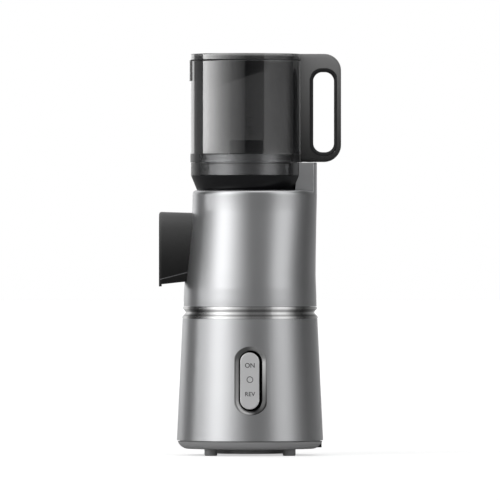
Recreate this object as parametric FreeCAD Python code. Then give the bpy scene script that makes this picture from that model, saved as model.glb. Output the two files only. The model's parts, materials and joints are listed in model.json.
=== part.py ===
import FreeCAD
import Part
import math
import os
from FreeCAD import Vector

# Cold press juicer. Millimetres, +Z up, origin on the base's axis at the surface it stands on.
# The juice hood points along -Y, the handle along +Y and the rocker switch along +X.
# The bowl, auger and hopper share an axis a little in front of the base's own axis.

# Feet and bottom cover
foot_radius = 6.4
foot_height = 6.5
foot_spacing = 78.0
foot_stem_radius = 3.0
cover_chamfer_height = 7.5
cover_chamfer_width = 8.3
cover_inset = 0.8
cover_wall = 2.5
cover_spigot_height = 6.0
shadow_gap = 1.0
plinth_radius = 37.0
plinth_drop = 4.8
vent_count = 18
vent_width = 3.0
vent_inner_radius = 14.0
vent_outer_radius = 31.0
cover_screw_radius = 1.9
cover_screw_inset = 13.1
cover_screw_angles = (30, 150, 210, 330)
post_angles = (45, 135, 225, 315)
gland_half_width = 6.5
gland_depth = 14.6
gland_inset = 1.5

# Base shell and chrome ring
base_bottom_radius = 73.1
base_top_radius = 67.4
base_shell_height = 121.5
shell_wall = 2.4
ring_height = 12.0
ring_lower_lip_radius = 67.9
ring_upper_lip_radius = 67.1
ring_groove_radius = 63.8
ring_bore_radius = 60.2
deck_screw_radius = 1.2
deck_screw_grip = 4.0

# Rocker switch, in a recess square to the tapered wall
rocker_offset_y = 0.8
rocker_height = 75.0
paddle_width = 20.7
paddle_length = 57.0
paddle_thickness = 3.3
paddle_setback = 0.9
paddle_gap = 0.9
recess_depth = 3.4
recess_side_slope = 2.44
recess_end_slope = 1.1
rocker_pivot_depth = 7.5
rocker_pin_radius = 1.5
well_back = -12.0
pad_back = -8.0
board_width = 40.0
board_height = 48.0
board_thickness = 1.6
board_stand_off = 14.0
board_y = -1.0
board_z = 76.0
board_post_radius = 2.2

# Running fits and clearances
running_fit = 0.04
moving_gap = 0.4

# Chamber, concentric on its own axis
chamber_axis_y = -3.8
chamber_gap = 0.3
cone_bottom_radius = 66.25
cone_waist_radius = 65.8
cone_shoulder_radius = 57.8
cone_top_radius = 57.45
cone_rim_radius = 54.0
cone_waist_rise = 18.0
cone_shoulder_rise = 96.0
cone_top_rise = 108.7
cone_height = 116.0
spine_half_width = 17.5
spine_corner_radius = 8.0
spine_top_back = 67.0
spine_waist_back = 65.6
spine_bottom_back = 66.6
spine_wall = 2.4
spine_clearance = 0.3

# Bowl and strainer
bowl_radius = 47.4
bowl_wall = 2.3
bowl_neck_radius = 49.2
bowl_head_radius = 55.2
bowl_floor_rise = 13.0
bowl_floor_thickness = 3.0
bowl_chamfer_height = 14.6
bowl_head_height = 12.8
shaft_tube_radius = 11.8
shaft_tube_wall = 2.0
strainer_radius = 42.4
strainer_wall = 0.8
strainer_rib_count = 6
strainer_slot_rows = 2
strainer_slots_per_row = 18
collar_radius = 48.2
collar_height = 12.0

# Auger
auger_clearance = 0.8
auger_core_bottom_radius = 25.0
auger_core_top_radius = 14.0
auger_hub_radius = 17.0
auger_hub_height = 15.7
auger_pitch = 44.0
auger_turns = 2.0
flight_root_thickness = 6.5
flight_tip_thickness = 3.5
flight_root_depth = 3.0
flight_step_angle = 15
flight_pitch_growth = 0.2
hex_across_flats = 12.0
hex_clearance = 0.15
hex_length = 20.0

# Hopper, handle and lid
hopper_radius = 55.8
hopper_wall = 2.6
hopper_height = 101.3
hopper_band_radius = 49.5
hopper_band_height = 8.0
hopper_mouth_radius = 42.0
parting_gap = 0.4
lug_count = 3
lug_angle = 24.0
handle_back = 91.0
handle_half_width = 11.5
handle_corner_radius = 17.0
handle_edge_radius = 4.5
handle_gap = 0.8
finger_front = 63.5
finger_width = 20.5
finger_bottom_rise = 9.2
finger_length = 80.5
trim_width = 3.9
trim_setback = 1.1
lid_gap = 0.6
lid_thickness = 6.6
lid_wall = 2.4
lid_skirt_depth = 32.0
lid_skirt_lean = 7.4
lid_skirt_wall = 1.6
hinge_pin_radius = 1.2
hinge_barrel_radius = 2.8
knuckle_half_width = 6.0
latch_half_width = 11.0
latch_drop = 20.5
latch_thickness = 1.1

# Hood, spout and pulp chute
hood_front = -91.0
hood_half_width = 16.0
hood_wall = 2.6
hood_front_lip = 2.6
hood_below_spout = 7.0
hood_above_spout = 55.2
hood_top_slope = 0.03
hood_root = -58.0
hood_edge_radius = 2.5
hood_lip_height = 5.0
hood_lip_proud = 0.5
hood_side_rise = 6.6
spout_rise = 26.2
spout_radius = 8.4
spout_wall = 1.6
spout_reach = -74.5
spout_drop = 12.5
cap_thickness = 2.0
cap_pin_radius = 1.0
cap_ear_radius = 2.0
cap_barrel_radius = 1.8
cap_pin_setoff = 2.1
chute_clearance = 1.7
chute_half_width = 13.0
chute_half_height = 9.5
chute_wall = 2.0
chute_reach = -73.0
chute_fall = 8.0

# Motor and planetary gearbox, on the chamber's axis
fan_radius = 30.0
fan_height = 5.5
fan_blades = 9
can_radius = 37.0
can_wall = 2.0
can_height = 50.0
magnet_thickness = 6.0
armature_radius = 27.8
armature_slots = 12
motor_shaft_radius = 4.0
motor_bearing_radius = 11.0
motor_bearing_width = 7.0
gear_module = 1.2
sun_teeth = 12
planet_teeth = 24
planet_count = 3
gear_width = 11.5
gear_backlash = 0.34
planet_pin_radius = 3.0
gearbox_wall = 3.0
output_radius = 7.5
output_bearing_radius = 15.0
output_bearing_width = 8.0

# Worked out from the sizes above
cover_z = foot_height
cover_rim_radius = base_bottom_radius - cover_inset
cover_flat_radius = cover_rim_radius - cover_chamfer_width
cover_screw_circle = base_bottom_radius - cover_screw_inset
gland_back = base_bottom_radius - gland_inset
gland_front = gland_back - gland_depth
shell_z = cover_z + cover_chamfer_height + shadow_gap
gland_z = cover_z + 1.2
gland_top = shell_z - shadow_gap
ring_z = shell_z + base_shell_height
ring_top = ring_z + ring_height
chamber_z = ring_top + chamber_gap
cone_top = chamber_z + cone_height
bowl_z = chamber_z + bowl_floor_rise
bowl_neck_z = cone_top
spout_height = bowl_z + spout_rise
spout_mouth = spout_height - spout_drop
hood_bottom = spout_mouth - hood_below_spout
hood_top = spout_height + hood_above_spout
chute_height = bowl_z + bowl_floor_thickness + chute_half_height + chute_clearance
head_z = bowl_neck_z + bowl_chamfer_height
head_top = head_z + bowl_head_height
hopper_z = head_top + parting_gap
hopper_top = hopper_z + hopper_height
lid_z = hopper_top + lid_gap
lid_top = lid_z + lid_thickness
spine_top = hopper_z - spine_clearance
hub_top = hopper_z + hopper_band_height + 14.2
hub_z = hub_top - auger_hub_height
ring_teeth = sun_teeth + 2 * planet_teeth
sun_pitch = gear_module * sun_teeth / 2
planet_pitch = gear_module * planet_teeth / 2
ring_pitch = gear_module * ring_teeth / 2
planet_orbit = sun_pitch + planet_pitch
board_x = board_stand_off - base_bottom_radius + (base_bottom_radius - base_top_radius) * (
    (rocker_height - shell_z) / base_shell_height)
wall_taper = math.degrees(math.atan((base_bottom_radius - base_top_radius) / base_shell_height))
fan_z = cover_z + cover_wall + 2.0
can_z = fan_z + fan_height + 5.0
can_top = can_z + can_height
gear_z = can_top + gearbox_wall + 4.0
carrier_z = gear_z + gear_width + 2.0
carrier_top = carrier_z + 5.0
output_bearing_z = carrier_top + 3.0
gearbox_top = output_bearing_z + output_bearing_width
deck_z = ring_z - shell_wall
deck_floor_z = ring_top - 8.0
seal_z = deck_floor_z - 1.0
hex_top = bowl_z + 31.0
socket_z = hex_top - hex_length
pin_y = chamber_axis_y + hopper_radius + 0.4 + hinge_barrel_radius
pin_z = lid_top - hinge_barrel_radius - 0.2
handle_front = chamber_axis_y + hopper_radius + handle_gap
well_half_width = paddle_width / 2 + paddle_gap
well_half_length = paddle_length / 2 + paddle_gap + 0.2
finger_z = hopper_z + finger_bottom_rise


def in_plane(plane, a, b):
    """Point (a, b) of the plane xz, yz or xy as a vector."""
    places = {"xz": (a, 0, b), "yz": (0, a, b), "xy": (a, b, 0)}
    return Vector(*places[plane])


def outline(points, plane="xz"):
    """Closed wire. A plain point is reached by a line, a pair (middle, end) by an arc."""
    edges = []
    here = in_plane(plane, *points[0])
    for step in points[1:] + points[:1]:
        curved = isinstance(step[0], tuple)
        end = in_plane(plane, *(step[1] if curved else step))
        if curved:
            edges.append(Part.Arc(here, in_plane(plane, *step[0]), end).toShape())
        elif here.distanceToPoint(end) > 1e-6:
            edges.append(Part.makeLine(here, end))
        here = end
    return Part.Wire(edges)


def rounded(corners):
    """Points for outline() from polygon corners (a, b, radius), each rounded by its radius."""
    points = []
    for index, (a, b, radius) in enumerate(corners):
        here = Vector(a, b, 0)
        before = (Vector(*corners[index - 1][:2], 0) - here).normalize()
        after = (Vector(*corners[(index + 1) % len(corners)][:2], 0) - here).normalize()
        if radius == 0:
            points.append((a, b))
            continue
        half = before.getAngle(after) / 2
        start = here + before * (radius / math.tan(half))
        end = here + after * (radius / math.tan(half))
        middle = here + (before + after).normalize() * (radius / math.sin(half) - radius)
        points.append((start.x, start.y))
        points.append(((middle.x, middle.y), (end.x, end.y)))
    return points


def turned(points, y=0.0):
    """Solid of revolution about the vertical line at (0, y) from an outline in radius and height."""
    solid = Part.Face(outline(points)).revolve(Vector(0, 0, 0), Vector(0, 0, 1), 360)
    solid.translate(Vector(0, y, 0))
    return upright(solid)


def upright(solid):
    """The same solid with its faces pointing outwards."""
    if solid.Volume < 0:
        solid.reverse()
    return solid


def prism(points, plane, start, end):
    """Outline in a plane, extruded along the plane's normal axis from start to end."""
    normal = {"xz": Vector(0, 1, 0), "yz": Vector(1, 0, 0), "xy": Vector(0, 0, 1)}[plane]
    face = Part.Face(outline(points, plane))
    face.translate(normal * start)
    return upright(face.extrude(normal * (end - start)))


def rod(radius, z0, z1, x=0.0, y=chamber_axis_y):
    """Upright cylinder."""
    return Part.makeCylinder(radius, z1 - z0, Vector(x, y, z0))


def pipe(outer, inner, z0, z1, x=0.0, y=chamber_axis_y):
    """Upright tube."""
    return rod(outer, z0, z1, x, y).cut(rod(inner, z0 - 1, z1 + 1, x, y))


def cross_rod(radius, x0, x1, y, z):
    """Cylinder along X."""
    return Part.makeCylinder(radius, x1 - x0, Vector(x0, y, z), Vector(1, 0, 0))


def block(x0, x1, y0, y1, z0, z1):
    """Box between two corners."""
    return Part.makeBox(x1 - x0, y1 - y0, z1 - z0, Vector(x0, y0, z0))


def around(solid, count, first=0.0, y=chamber_axis_y):
    """Copies of a solid spread evenly about the vertical line at (0, y)."""
    copies = []
    for index in range(count):
        copy = solid.copy()
        copy.rotate(Vector(0, y, 0), Vector(0, 0, 1), first + 360.0 * index / count)
        copies.append(copy)
    return copies


def joined(solids):
    """One solid from touching or overlapping solids."""
    result = solids[0]
    if len(solids) > 1:
        result = result.multiFuse(solids[1:])
    return result.removeSplitter()


def stadium(half_width, half_length):
    """Points of a stadium centred on the origin, long way up."""
    r = half_width
    return rounded([(-r, -half_length, r), (r, -half_length, r), (r, half_length, r), (-r, half_length, r)])


def outer_radius_of_base(z):
    """Outside radius of the tapered base shell at a height."""
    share = (z - shell_z) / base_shell_height
    return base_bottom_radius + (base_top_radius - base_bottom_radius) * share


def at_rocker(solid):
    """Move a solid from the rocker's own frame (x out of the wall, z up it) to its place."""
    wall = outer_radius_of_base(rocker_height)
    solid.Placement = FreeCAD.Placement(
        Vector(wall, rocker_offset_y, rocker_height),
        FreeCAD.Rotation(Vector(0, 1, 0), -wall_taper),
    )
    return solid


def upright_stadium(half_width, half_length, x0, x1):
    """Stadium block in the rocker's frame, between two depths."""
    return prism(stadium(half_width, half_length), "yz", x0, x1)


def screw(head_radius, shank_radius, z0, z1, x, y, head_up=False):
    """Pan-head screw from z0 to z1, its head at the bottom unless head_up."""
    head = 2.0
    head_z = z1 - head if head_up else z0
    solid = rod(shank_radius, z0, z1, x, y).fuse(rod(head_radius, head_z, head_z + head, x, y))
    return solid.removeSplitter()


def on_circle(radius, angle, y=0.0):
    """Point at an angle on a circle about (0, y)."""
    turn = math.radians(angle)
    return radius * math.cos(turn), y + radius * math.sin(turn)


# Base shell and what hangs on it


def shell_envelope():
    """The base shell as if it were solid."""
    return turned([(0, shell_z), (base_bottom_radius, shell_z), (base_top_radius, ring_z), (0, ring_z)])


def base_shell():
    """Tapered skin with a top flange, a pad behind the rocker's scooped recess and screw bosses."""
    envelope = shell_envelope()
    hollow = turned([
        (0, shell_z - 1),
        (base_bottom_radius - shell_wall, shell_z - 1),
        (base_top_radius - shell_wall, ring_z - shell_wall),
        (0, ring_z - shell_wall),
    ])
    pad = at_rocker(upright_stadium(well_half_width + 6, well_half_length + 6, pad_back, 6))
    shell = envelope.cut(hollow).fuse(pad.common(envelope))
    for angle in cover_screw_angles:
        boss = rod(4.2, cover_z + 16, cover_z + 40, *on_circle(cover_screw_circle, angle))
        web = block(cover_screw_circle, base_bottom_radius, -1.2, 1.2, cover_z + 16, cover_z + 40)
        web.rotate(Vector(0, 0, 0), Vector(0, 0, 1), angle)
        pilot = rod(cover_screw_radius, cover_z + 15, cover_z + 36, *on_circle(cover_screw_circle, angle))
        shell = shell.fuse(boss.fuse(web).common(envelope)).cut(pilot)
    shell = shell.cut(rod(ring_bore_radius, ring_z - 10, ring_z + 1, 0, 0))
    for x, y in deck_screw_places():
        shell = shell.cut(rod(deck_screw_radius, deck_z - 1, ring_z + 1, x, y))
    for y, z in board_places():
        post = Part.makeCylinder(board_post_radius, 30, Vector(board_x, y, z), Vector(-1, 0, 0))
        shell = shell.fuse(post.common(envelope))
    shell = shell.cut(recess_tool()).cut(at_rocker(
        upright_stadium(well_half_width, well_half_length, pad_back - 4, 0)))
    return shell.removeSplitter()


def recess_tool():
    """Scoop round the rocker: a stadium that widens from the well's rim out past the wall."""
    rise = recess_depth + 1.0
    wide = well_half_width + recess_side_slope * rise
    tall = well_half_length + recess_end_slope * rise
    wires = []
    for x, half_width, half_length in ((-recess_depth, well_half_width, well_half_length), (1.0, wide, tall)):
        wire = outline(stadium(half_width, half_length), "yz")
        wire.translate(Vector(x, 0, 0))
        wires.append(wire)
    return at_rocker(Part.makeLoft(wires, True, True))


def trim_ring():
    """Chrome ring with a V groove between two lips."""
    groove_z = ring_z + 6.2
    ring = turned([
        (ring_bore_radius, ring_z),
        (base_top_radius, ring_z),
        (ring_lower_lip_radius, ring_z + 0.6),
        (ring_lower_lip_radius, ring_z + 1.6),
        (ring_groove_radius + 0.5, groove_z - 0.9),
        ((ring_groove_radius, groove_z), (ring_groove_radius + 0.5, groove_z + 0.9)),
        (ring_upper_lip_radius, ring_top - 2.0),
        (ring_upper_lip_radius, ring_top - 0.8),
        (ring_upper_lip_radius - 0.8, ring_top),
        (ring_bore_radius, ring_top),
    ])
    for x, y in deck_screw_places():
        ring = ring.cut(rod(deck_screw_radius, ring_z - 1, ring_z + deck_screw_grip, x, y))
    return ring


def feet_places():
    """Centres of the four feet."""
    half = foot_spacing / 2
    return [(x, y) for x in (-half, half) for y in (-half, half)]


def bottom_cover():
    """Dish with a rounded chamfer, a vented plinth, a spigot in the shell and seats for the feet."""
    floor = cover_z + cover_wall
    rim_z = shell_z - shadow_gap
    spigot = base_bottom_radius - shell_wall - 0.5
    bulge = (cover_flat_radius + 5.6, cover_z + 3.1)
    dish = turned([
        (0, cover_z - plinth_drop),
        (plinth_radius, cover_z - plinth_drop),
        (plinth_radius, cover_z),
        (cover_flat_radius, cover_z),
        (bulge, (cover_rim_radius, rim_z)),
        (spigot, rim_z),
        (spigot, shell_z + cover_spigot_height),
        (spigot - 2, shell_z + cover_spigot_height),
        (spigot - 2, rim_z - 1),
        (cover_flat_radius - 1, floor),
        (plinth_radius - cover_wall, floor),
        (plinth_radius - cover_wall, cover_z - plinth_drop + cover_wall),
        (0, cover_z - plinth_drop + cover_wall),
    ])
    slot = block(vent_inner_radius, vent_outer_radius, -vent_width / 2, vent_width / 2, 0, cover_z)
    dish = dish.cut(around(slot, vent_count, 0, 0)[0].multiFuse(around(slot, vent_count, 0, 0)[1:]))
    for x, y in feet_places():
        dish = dish.cut(rod(foot_stem_radius, 0, floor + 1, x, y))
    for angle in cover_screw_angles:
        x, y = on_circle(cover_screw_circle, angle)
        pillar = rod(4.2, floor - 1, cover_z + 16, x, y)
        dish = dish.fuse(pillar).cut(rod(2.2, 0, cover_z + 20, x, y)).cut(rod(3.6, 0, cover_z + 2.2, x, y))
    return dish.cut(gland_block(0.0)).removeSplitter()


def gland_block(clearance):
    """Space of the cord gland at the lower rear."""
    half = gland_half_width + clearance
    return block(-half, half, gland_front, gland_back, gland_z - clearance, gland_top + clearance)




def cord_gland():
    """Rubber-lipped inlet for the supply cord, with its hole to the rear."""
    body = gland_block(0.0)
    middle = (gland_z + gland_top) / 2
    hole = Part.makeCylinder(2.4, 40, Vector(0, gland_front - 5, middle), Vector(0, 1, 0))
    mouth = Part.makeCone(2.4, 2.9, 4, Vector(0, gland_back - 4, middle), Vector(0, 1, 0))
    return body.cut(hole).cut(mouth)


def rubber_feet():
    """Four round feet with stems that snap through the cover."""
    feet = []
    edge = foot_radius - 0.8
    floor = cover_z + cover_wall
    for x, y in feet_places():
        foot = turned([
            (0, 0),
            (edge, 0),
            ((foot_radius - 0.25, 0.25), (foot_radius, 0.8)),
            (foot_radius, foot_height),
            (foot_stem_radius, foot_height),
            (foot_stem_radius, floor),
            (foot_stem_radius + 0.8, floor),
            (foot_stem_radius + 0.3, floor + 1.8),
            (0, floor + 1.8),
        ])
        foot.translate(Vector(x, y, 0))
        feet.append(foot)
    return Part.makeCompound(feet)


def cover_screws():
    """Screws up through the bottom cover into the shell's bosses."""
    places = [on_circle(cover_screw_circle, angle) for angle in cover_screw_angles]
    low = cover_z + 0.2
    return Part.makeCompound([screw(3.4, cover_screw_radius, low, cover_z + 34, x, y) for x, y in places])


def top_deck():
    """Plastic deck under the chamber: a flange below the shell's, a spigot, a floor and gearbox posts."""
    spigot = ring_bore_radius - 0.4
    deck = turned([
        (output_bearing_radius - 3, deck_floor_z),
        (spigot - 3, deck_floor_z),
        (spigot - 3, bowl_z - 5),
        (spigot - 1.2, bowl_z - 5),
        (spigot, ring_top - 1),
        (spigot, deck_z),
        (base_top_radius - shell_wall - 1, deck_z),
        (base_top_radius - shell_wall - 1, deck_z - 2.5),
        (output_bearing_radius - 3, deck_z - 2.5),
    ])
    well = rod(output_bearing_radius - 2, deck_z - 3, seal_z, 0)
    collar = pipe(output_bearing_radius, output_bearing_radius - 2, deck_floor_z - 1, deck_floor_z + 5)
    hollow = turned([
        (output_bearing_radius + 2, deck_z - 3),
        (output_bearing_radius + 2, deck_floor_z - 2.5),
        (spigot - 3, deck_floor_z - 2.5),
        (spigot - 3, deck_z - 3),
    ], chamber_axis_y)
    inner = rod(spigot - 2.5, deck_z - 3, deck_floor_z, 0, 0)
    deck = deck.cut(hollow.common(inner)).fuse(collar).cut(well)
    deck = deck.cut(rod(output_radius + 0.6, seal_z - 9, deck_floor_z + 9))
    for x, y in post_places():
        post = rod(4.5, gearbox_top + 3.5, deck_floor_z - 1, x, y)
        deck = deck.fuse(post).cut(rod(1.6, gearbox_top, deck_floor_z - 4, x, y))
    for x, y in deck_screw_places():
        deck = deck.cut(rod(1.7, deck_z - 5, deck_z + 1, x, y))
    return deck.removeSplitter()


def post_places():
    """Centres of the four gearbox posts."""
    return [on_circle(ring_pitch + 13, angle, chamber_axis_y) for angle in post_angles]


def deck_screw_places():
    """Centres of the screws that clamp deck, shell flange and ring."""
    return [on_circle(ring_bore_radius + 2.2, angle) for angle in (20, 160, 200, 340)]


def deck_screws():
    """Screws from under the deck's flange up into the chrome ring."""
    low = deck_z - 4.5
    return Part.makeCompound([screw(2.0, deck_screw_radius, low, ring_z + deck_screw_grip, x, y)
                              for x, y in deck_screw_places()])


def shaft_seal():
    """Lip seal in the deck's collar round the output shaft."""
    outer = output_bearing_radius - 2
    lip = output_radius + running_fit
    return turned([
        (lip, seal_z + 2),
        (lip, seal_z + 3.2),
        (lip + 1.6, seal_z + 6),
        (outer, seal_z + 6),
        (outer, deck_floor_z + 0.2),
        (lip + 1.6, deck_floor_z + 0.2),
    ], chamber_axis_y)


# Rocker switch

def rocker_frame():
    """Black well behind the pad, with a floor and two ears that carry the paddle's pin."""
    half_width = well_half_width
    half_length = well_half_length
    flange = upright_stadium(half_width + 5, half_length + 5, pad_back - 2, pad_back)
    cup = upright_stadium(half_width + 1.5, half_length + 1.5, well_back - 1.5, pad_back)
    cup = cup.fuse(flange).cut(upright_stadium(half_width, half_length, well_back, 0))
    for side in (-1, 1):
        y0, y1 = sorted((side * (half_width - 3.0), side * half_width))
        ear = block(well_back - 0.5, -rocker_pivot_depth + 2.4, y0, y1, -4, 4)
        cup = cup.fuse(ear)
    bore = rocker_pin_radius + running_fit
    hole = Part.makeCylinder(bore, 60, Vector(-rocker_pivot_depth, -30, 0), Vector(0, 1, 0))
    cup = cup.cut(hole.common(block(-20, 0, -half_width, half_width, -9, 9)))
    return at_rocker(cup.removeSplitter())


def rocker_paddle():
    """Stadium paddle, dished along its length, with a rib and a pin in the frame's ears."""
    front = -paddle_setback
    plate = upright_stadium(paddle_width / 2, paddle_length / 2, front - paddle_thickness, front)
    dish_radius = 900.0
    dish = Part.makeCylinder(dish_radius, 60, Vector(front - 0.45 + dish_radius, -30, 0), Vector(0, 1, 0))
    plate = plate.cut(dish)
    rim = [edge for edge in plate.Edges if edge.BoundBox.XMin > front - 0.6]
    plate = plate.makeFillet(0.9, rim)
    ear_inner = well_half_width - 3.0
    rib = block(-rocker_pivot_depth, front - 1.5, -ear_inner + 0.5, ear_inner - 0.5, -2.2, 2.2)
    barrel = Part.makeCylinder(2.4, 2 * ear_inner - 1, Vector(-rocker_pivot_depth, -ear_inner + 0.5, 0),
                               Vector(0, 1, 0))
    length = 2 * (well_half_width - 0.4)
    pin = Part.makeCylinder(rocker_pin_radius, length, Vector(-rocker_pivot_depth, -length / 2, 0),
                            Vector(0, 1, 0))
    return at_rocker(joined([plate, rib, barrel, pin]))


def switch_body():
    """Three-position switch module behind the well, with its blade terminals."""
    body = block(well_back - 9.5, well_back - 1.5, -9, 9, -15, 15)
    for z in (-10, 0, 10):
        body = body.fuse(block(well_back - 13.0, well_back - 9.0, -3, 3, z - 0.4, z + 0.4))
    return at_rocker(body)


def board_places():
    """Centres (y, z) of the control board's stand-offs."""
    return [(board_y + dy, board_z + dz) for dy in (-15.0, 15.0) for dz in (-19.0, 19.0)]


def control_board():
    """Power and speed board on the wall opposite the rocker, with its larger components."""
    x = board_x
    board = block(x, x + board_thickness, board_y - board_width / 2, board_y + board_width / 2,
                  board_z - board_height / 2, board_z + board_height / 2)
    x += board_thickness
    tall = block(x, x + 7.4, board_y - 16, board_y - 4, board_z - 18, board_z - 2)
    relay = block(x, x + 8.4, board_y + 3, board_y + 15, board_z - 20, board_z - 4)
    can = Part.makeCylinder(5, 7.4, Vector(x, board_y - 9, board_z + 12), Vector(1, 0, 0))
    heat_sink = block(x, x + 6.4, board_y + 5, board_y + 17, board_z + 2, board_z + 20)
    return joined([board, tall, relay, can, heat_sink])


# Motor

def cooling_fan():
    """Radial fan at the shaft's foot, over the cover's vents."""
    disc = pipe(fan_radius, motor_shaft_radius, fan_z + fan_height - 1.2, fan_z + fan_height)
    hub = pipe(7, motor_shaft_radius, fan_z, fan_z + fan_height)
    blade = block(6.5, fan_radius - 0.5, chamber_axis_y - 0.7, chamber_axis_y + 0.7, fan_z, fan_z + fan_height)
    blade.rotate(Vector(16, chamber_axis_y, 0), Vector(0, 0, 1), 25)
    ring = rod(fan_radius, fan_z, fan_z + fan_height)
    return joined([disc, hub] + [solid.common(ring) for solid in around(blade, fan_blades)])


def motor_end_bell():
    """Lower end of the motor: a vented plate with the lower bearing seat."""
    seat = motor_bearing_radius
    bell = turned([
        (seat - 2.5, can_z - 3),
        (can_radius, can_z - 3),
        (can_radius, can_z),
        (seat + 3, can_z),
        (seat + 3, can_z + motor_bearing_width + 1),
        (seat, can_z + motor_bearing_width + 1),
        (seat, can_z - 0.5),
        (seat - 2.5, can_z - 0.5),
    ], chamber_axis_y)
    for vent in around(rod(3.5, can_z - 5, can_z + 2, 26), 8, 22.5):
        bell = bell.cut(vent)
    return bell


def motor_can():
    """Drawn steel can with the upper bearing seat and cooling slots."""
    seat = motor_bearing_radius
    can = turned([
        (seat - 2.5, can_top),
        (can_radius, can_top),
        (can_radius, can_z),
        (can_radius - can_wall, can_z),
        (can_radius - can_wall, can_top - can_wall),
        (seat + 3, can_top - can_wall),
        (seat + 3, can_top - motor_bearing_width - 1),
        (seat, can_top - motor_bearing_width - 1),
        (seat, can_top - can_wall + 0.5),
        (seat - 2.5, can_top - can_wall + 0.5),
    ], chamber_axis_y)
    slot = block(can_radius - 6, can_radius + 2, chamber_axis_y - 5, chamber_axis_y + 5, can_z + 3, can_z + 7)
    for vent in around(slot, 6, 30):
        can = can.cut(vent)
    return can


def field_magnets():
    """Two arc magnets on the can's wall."""
    outer = can_radius - can_wall - 0.05
    ring = pipe(outer, outer - magnet_thickness, can_z + 12, can_top - 8)
    keep = prism([(0, 0), (60, 42), (60, -42)], "xy", can_z, can_top)
    keep.translate(Vector(0, chamber_axis_y, 0))
    return Part.makeCompound([ring.common(solid) for solid in around(keep, 2)])


def armature_core():
    """Slotted laminated core on the shaft, with its windings' end turns and the commutator."""
    core = pipe(armature_radius, motor_shaft_radius, can_z + 15, can_top - 13)
    slot = block(12, armature_radius + 2, chamber_axis_y - 2, chamber_axis_y + 2, can_z, can_top)
    for gap in around(slot, armature_slots):
        core = core.cut(gap)
    turns = pipe(23, motor_shaft_radius, can_z + 11.5, can_top - 10.5)
    return joined([core, turns])


def commutator():
    """Copper commutator under the armature."""
    return pipe(9.5, motor_shaft_radius, can_z + motor_bearing_width + 1.5, can_z + 11.5)


def motor_bearings():
    """Ball bearings at both ends of the motor."""
    low = can_z - 0.5
    high = can_top - can_wall + 0.5 - motor_bearing_width
    bore = motor_shaft_radius + running_fit
    return Part.makeCompound([
        pipe(motor_bearing_radius, bore, low, low + motor_bearing_width),
        pipe(motor_bearing_radius, bore, high, high + motor_bearing_width),
    ])


# Planetary gearbox

def gear_points(teeth, outer, inner, thickness_at_pitch, phase=0.0):
    """Corners of a gear outline: per tooth two at the root and two at the tip, with 20 degree flanks."""
    pitch = gear_module * teeth / 2
    lean = math.tan(math.radians(20))
    points = []
    for tooth in range(teeth):
        middle = phase + 2 * math.pi * tooth / teeth
        for radius, side in ((inner, -1), (outer, -1), (outer, 1), (inner, 1)):
            half = (thickness_at_pitch / 2 - (radius - pitch) * lean) / radius
            angle = middle + side * half
            points.append((radius * math.cos(angle), radius * math.sin(angle)))
    return points


def toothed(teeth, width, phase=0.0):
    """External gear blank of a tooth count, standing on z = 0."""
    pitch = gear_module * teeth / 2
    thickness = math.pi * gear_module / 2 - gear_backlash
    points = gear_points(teeth, pitch + 0.85 * gear_module, pitch - 1.2 * gear_module, thickness, phase)
    return prism(points, "xy", 0, width)


def motor_shaft():
    """Motor shaft with the sun pinion cut on its upper end."""
    shaft = rod(motor_shaft_radius, fan_z - 1, gear_z + gear_width - 1)
    pinion = toothed(sun_teeth, gear_width)
    pinion.translate(Vector(0, chamber_axis_y, gear_z))
    return joined([shaft, pinion])


def planet_place(index):
    """Centre of a planet and the phase that puts it in mesh with the sun and the ring."""
    orbit = 2 * math.pi * index / planet_count
    phase = orbit + math.pi - math.pi / planet_teeth + orbit * sun_teeth / planet_teeth
    x = planet_orbit * math.cos(orbit)
    y = chamber_axis_y + planet_orbit * math.sin(orbit)
    return x, y, phase


def planet_gear(index):
    """Planet with a lightened web, turning on its carrier pin."""
    x, y, phase = planet_place(index)
    gear = toothed(planet_teeth, gear_width, phase)
    gear = gear.cut(rod(planet_pin_radius + running_fit, -1, gear_width + 1, 0, 0))
    groove = pipe(planet_pitch - 4.5, planet_pin_radius + 2.5, gear_width - 2, gear_width + 1, 0, 0)
    gear = gear.cut(groove)
    gear.translate(Vector(x, y, gear_z))
    return gear


def ring_gear():
    """Internal ring gear pressed into the case."""
    thickness = math.pi * gear_module / 2 + gear_backlash
    outer = ring_pitch + 1.2 * gear_module
    inner = ring_pitch - 0.85 * gear_module
    phase = math.pi / ring_teeth
    space = prism(gear_points(ring_teeth, outer, inner, thickness, phase), "xy", gear_z - 2, gear_z + 20)
    space.translate(Vector(0, chamber_axis_y, 0))
    return rod(ring_pitch + 5, gear_z - 1, gear_z + gear_width + 1).cut(space)


def planet_carrier():
    """Carrier plate with three pins, welded to the output shaft's foot."""
    plate = pipe(ring_pitch - 2.5, output_radius, carrier_z, carrier_top)
    pins = []
    for index in range(planet_count):
        x, y, _ = planet_place(index)
        pins.append(rod(planet_pin_radius, gear_z + 0.3, carrier_z + 1, x, y))
    return joined([plate] + pins)


def drive_shaft():
    """Output shaft: round through its bearing and seal, hexagonal where the auger slides on."""
    round_top = deck_floor_z + 6
    shaft = rod(output_radius, carrier_z, round_top)
    corner = hex_across_flats / math.sqrt(3)
    points = [(corner * math.cos(math.radians(a)), corner * math.sin(math.radians(a))) for a in range(0, 360, 60)]
    drive = prism(points, "xy", round_top - 1, hex_top)
    drive.translate(Vector(0, chamber_axis_y, 0))
    nose = Part.makeCone(corner + 4, corner - 1, 5, Vector(0, chamber_axis_y, hex_top - 5), Vector(0, 0, 1))
    low = rod(corner + 1, round_top - 1, hex_top - 4.9)
    return joined([shaft, drive.common(nose.fuse(low))])


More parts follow.
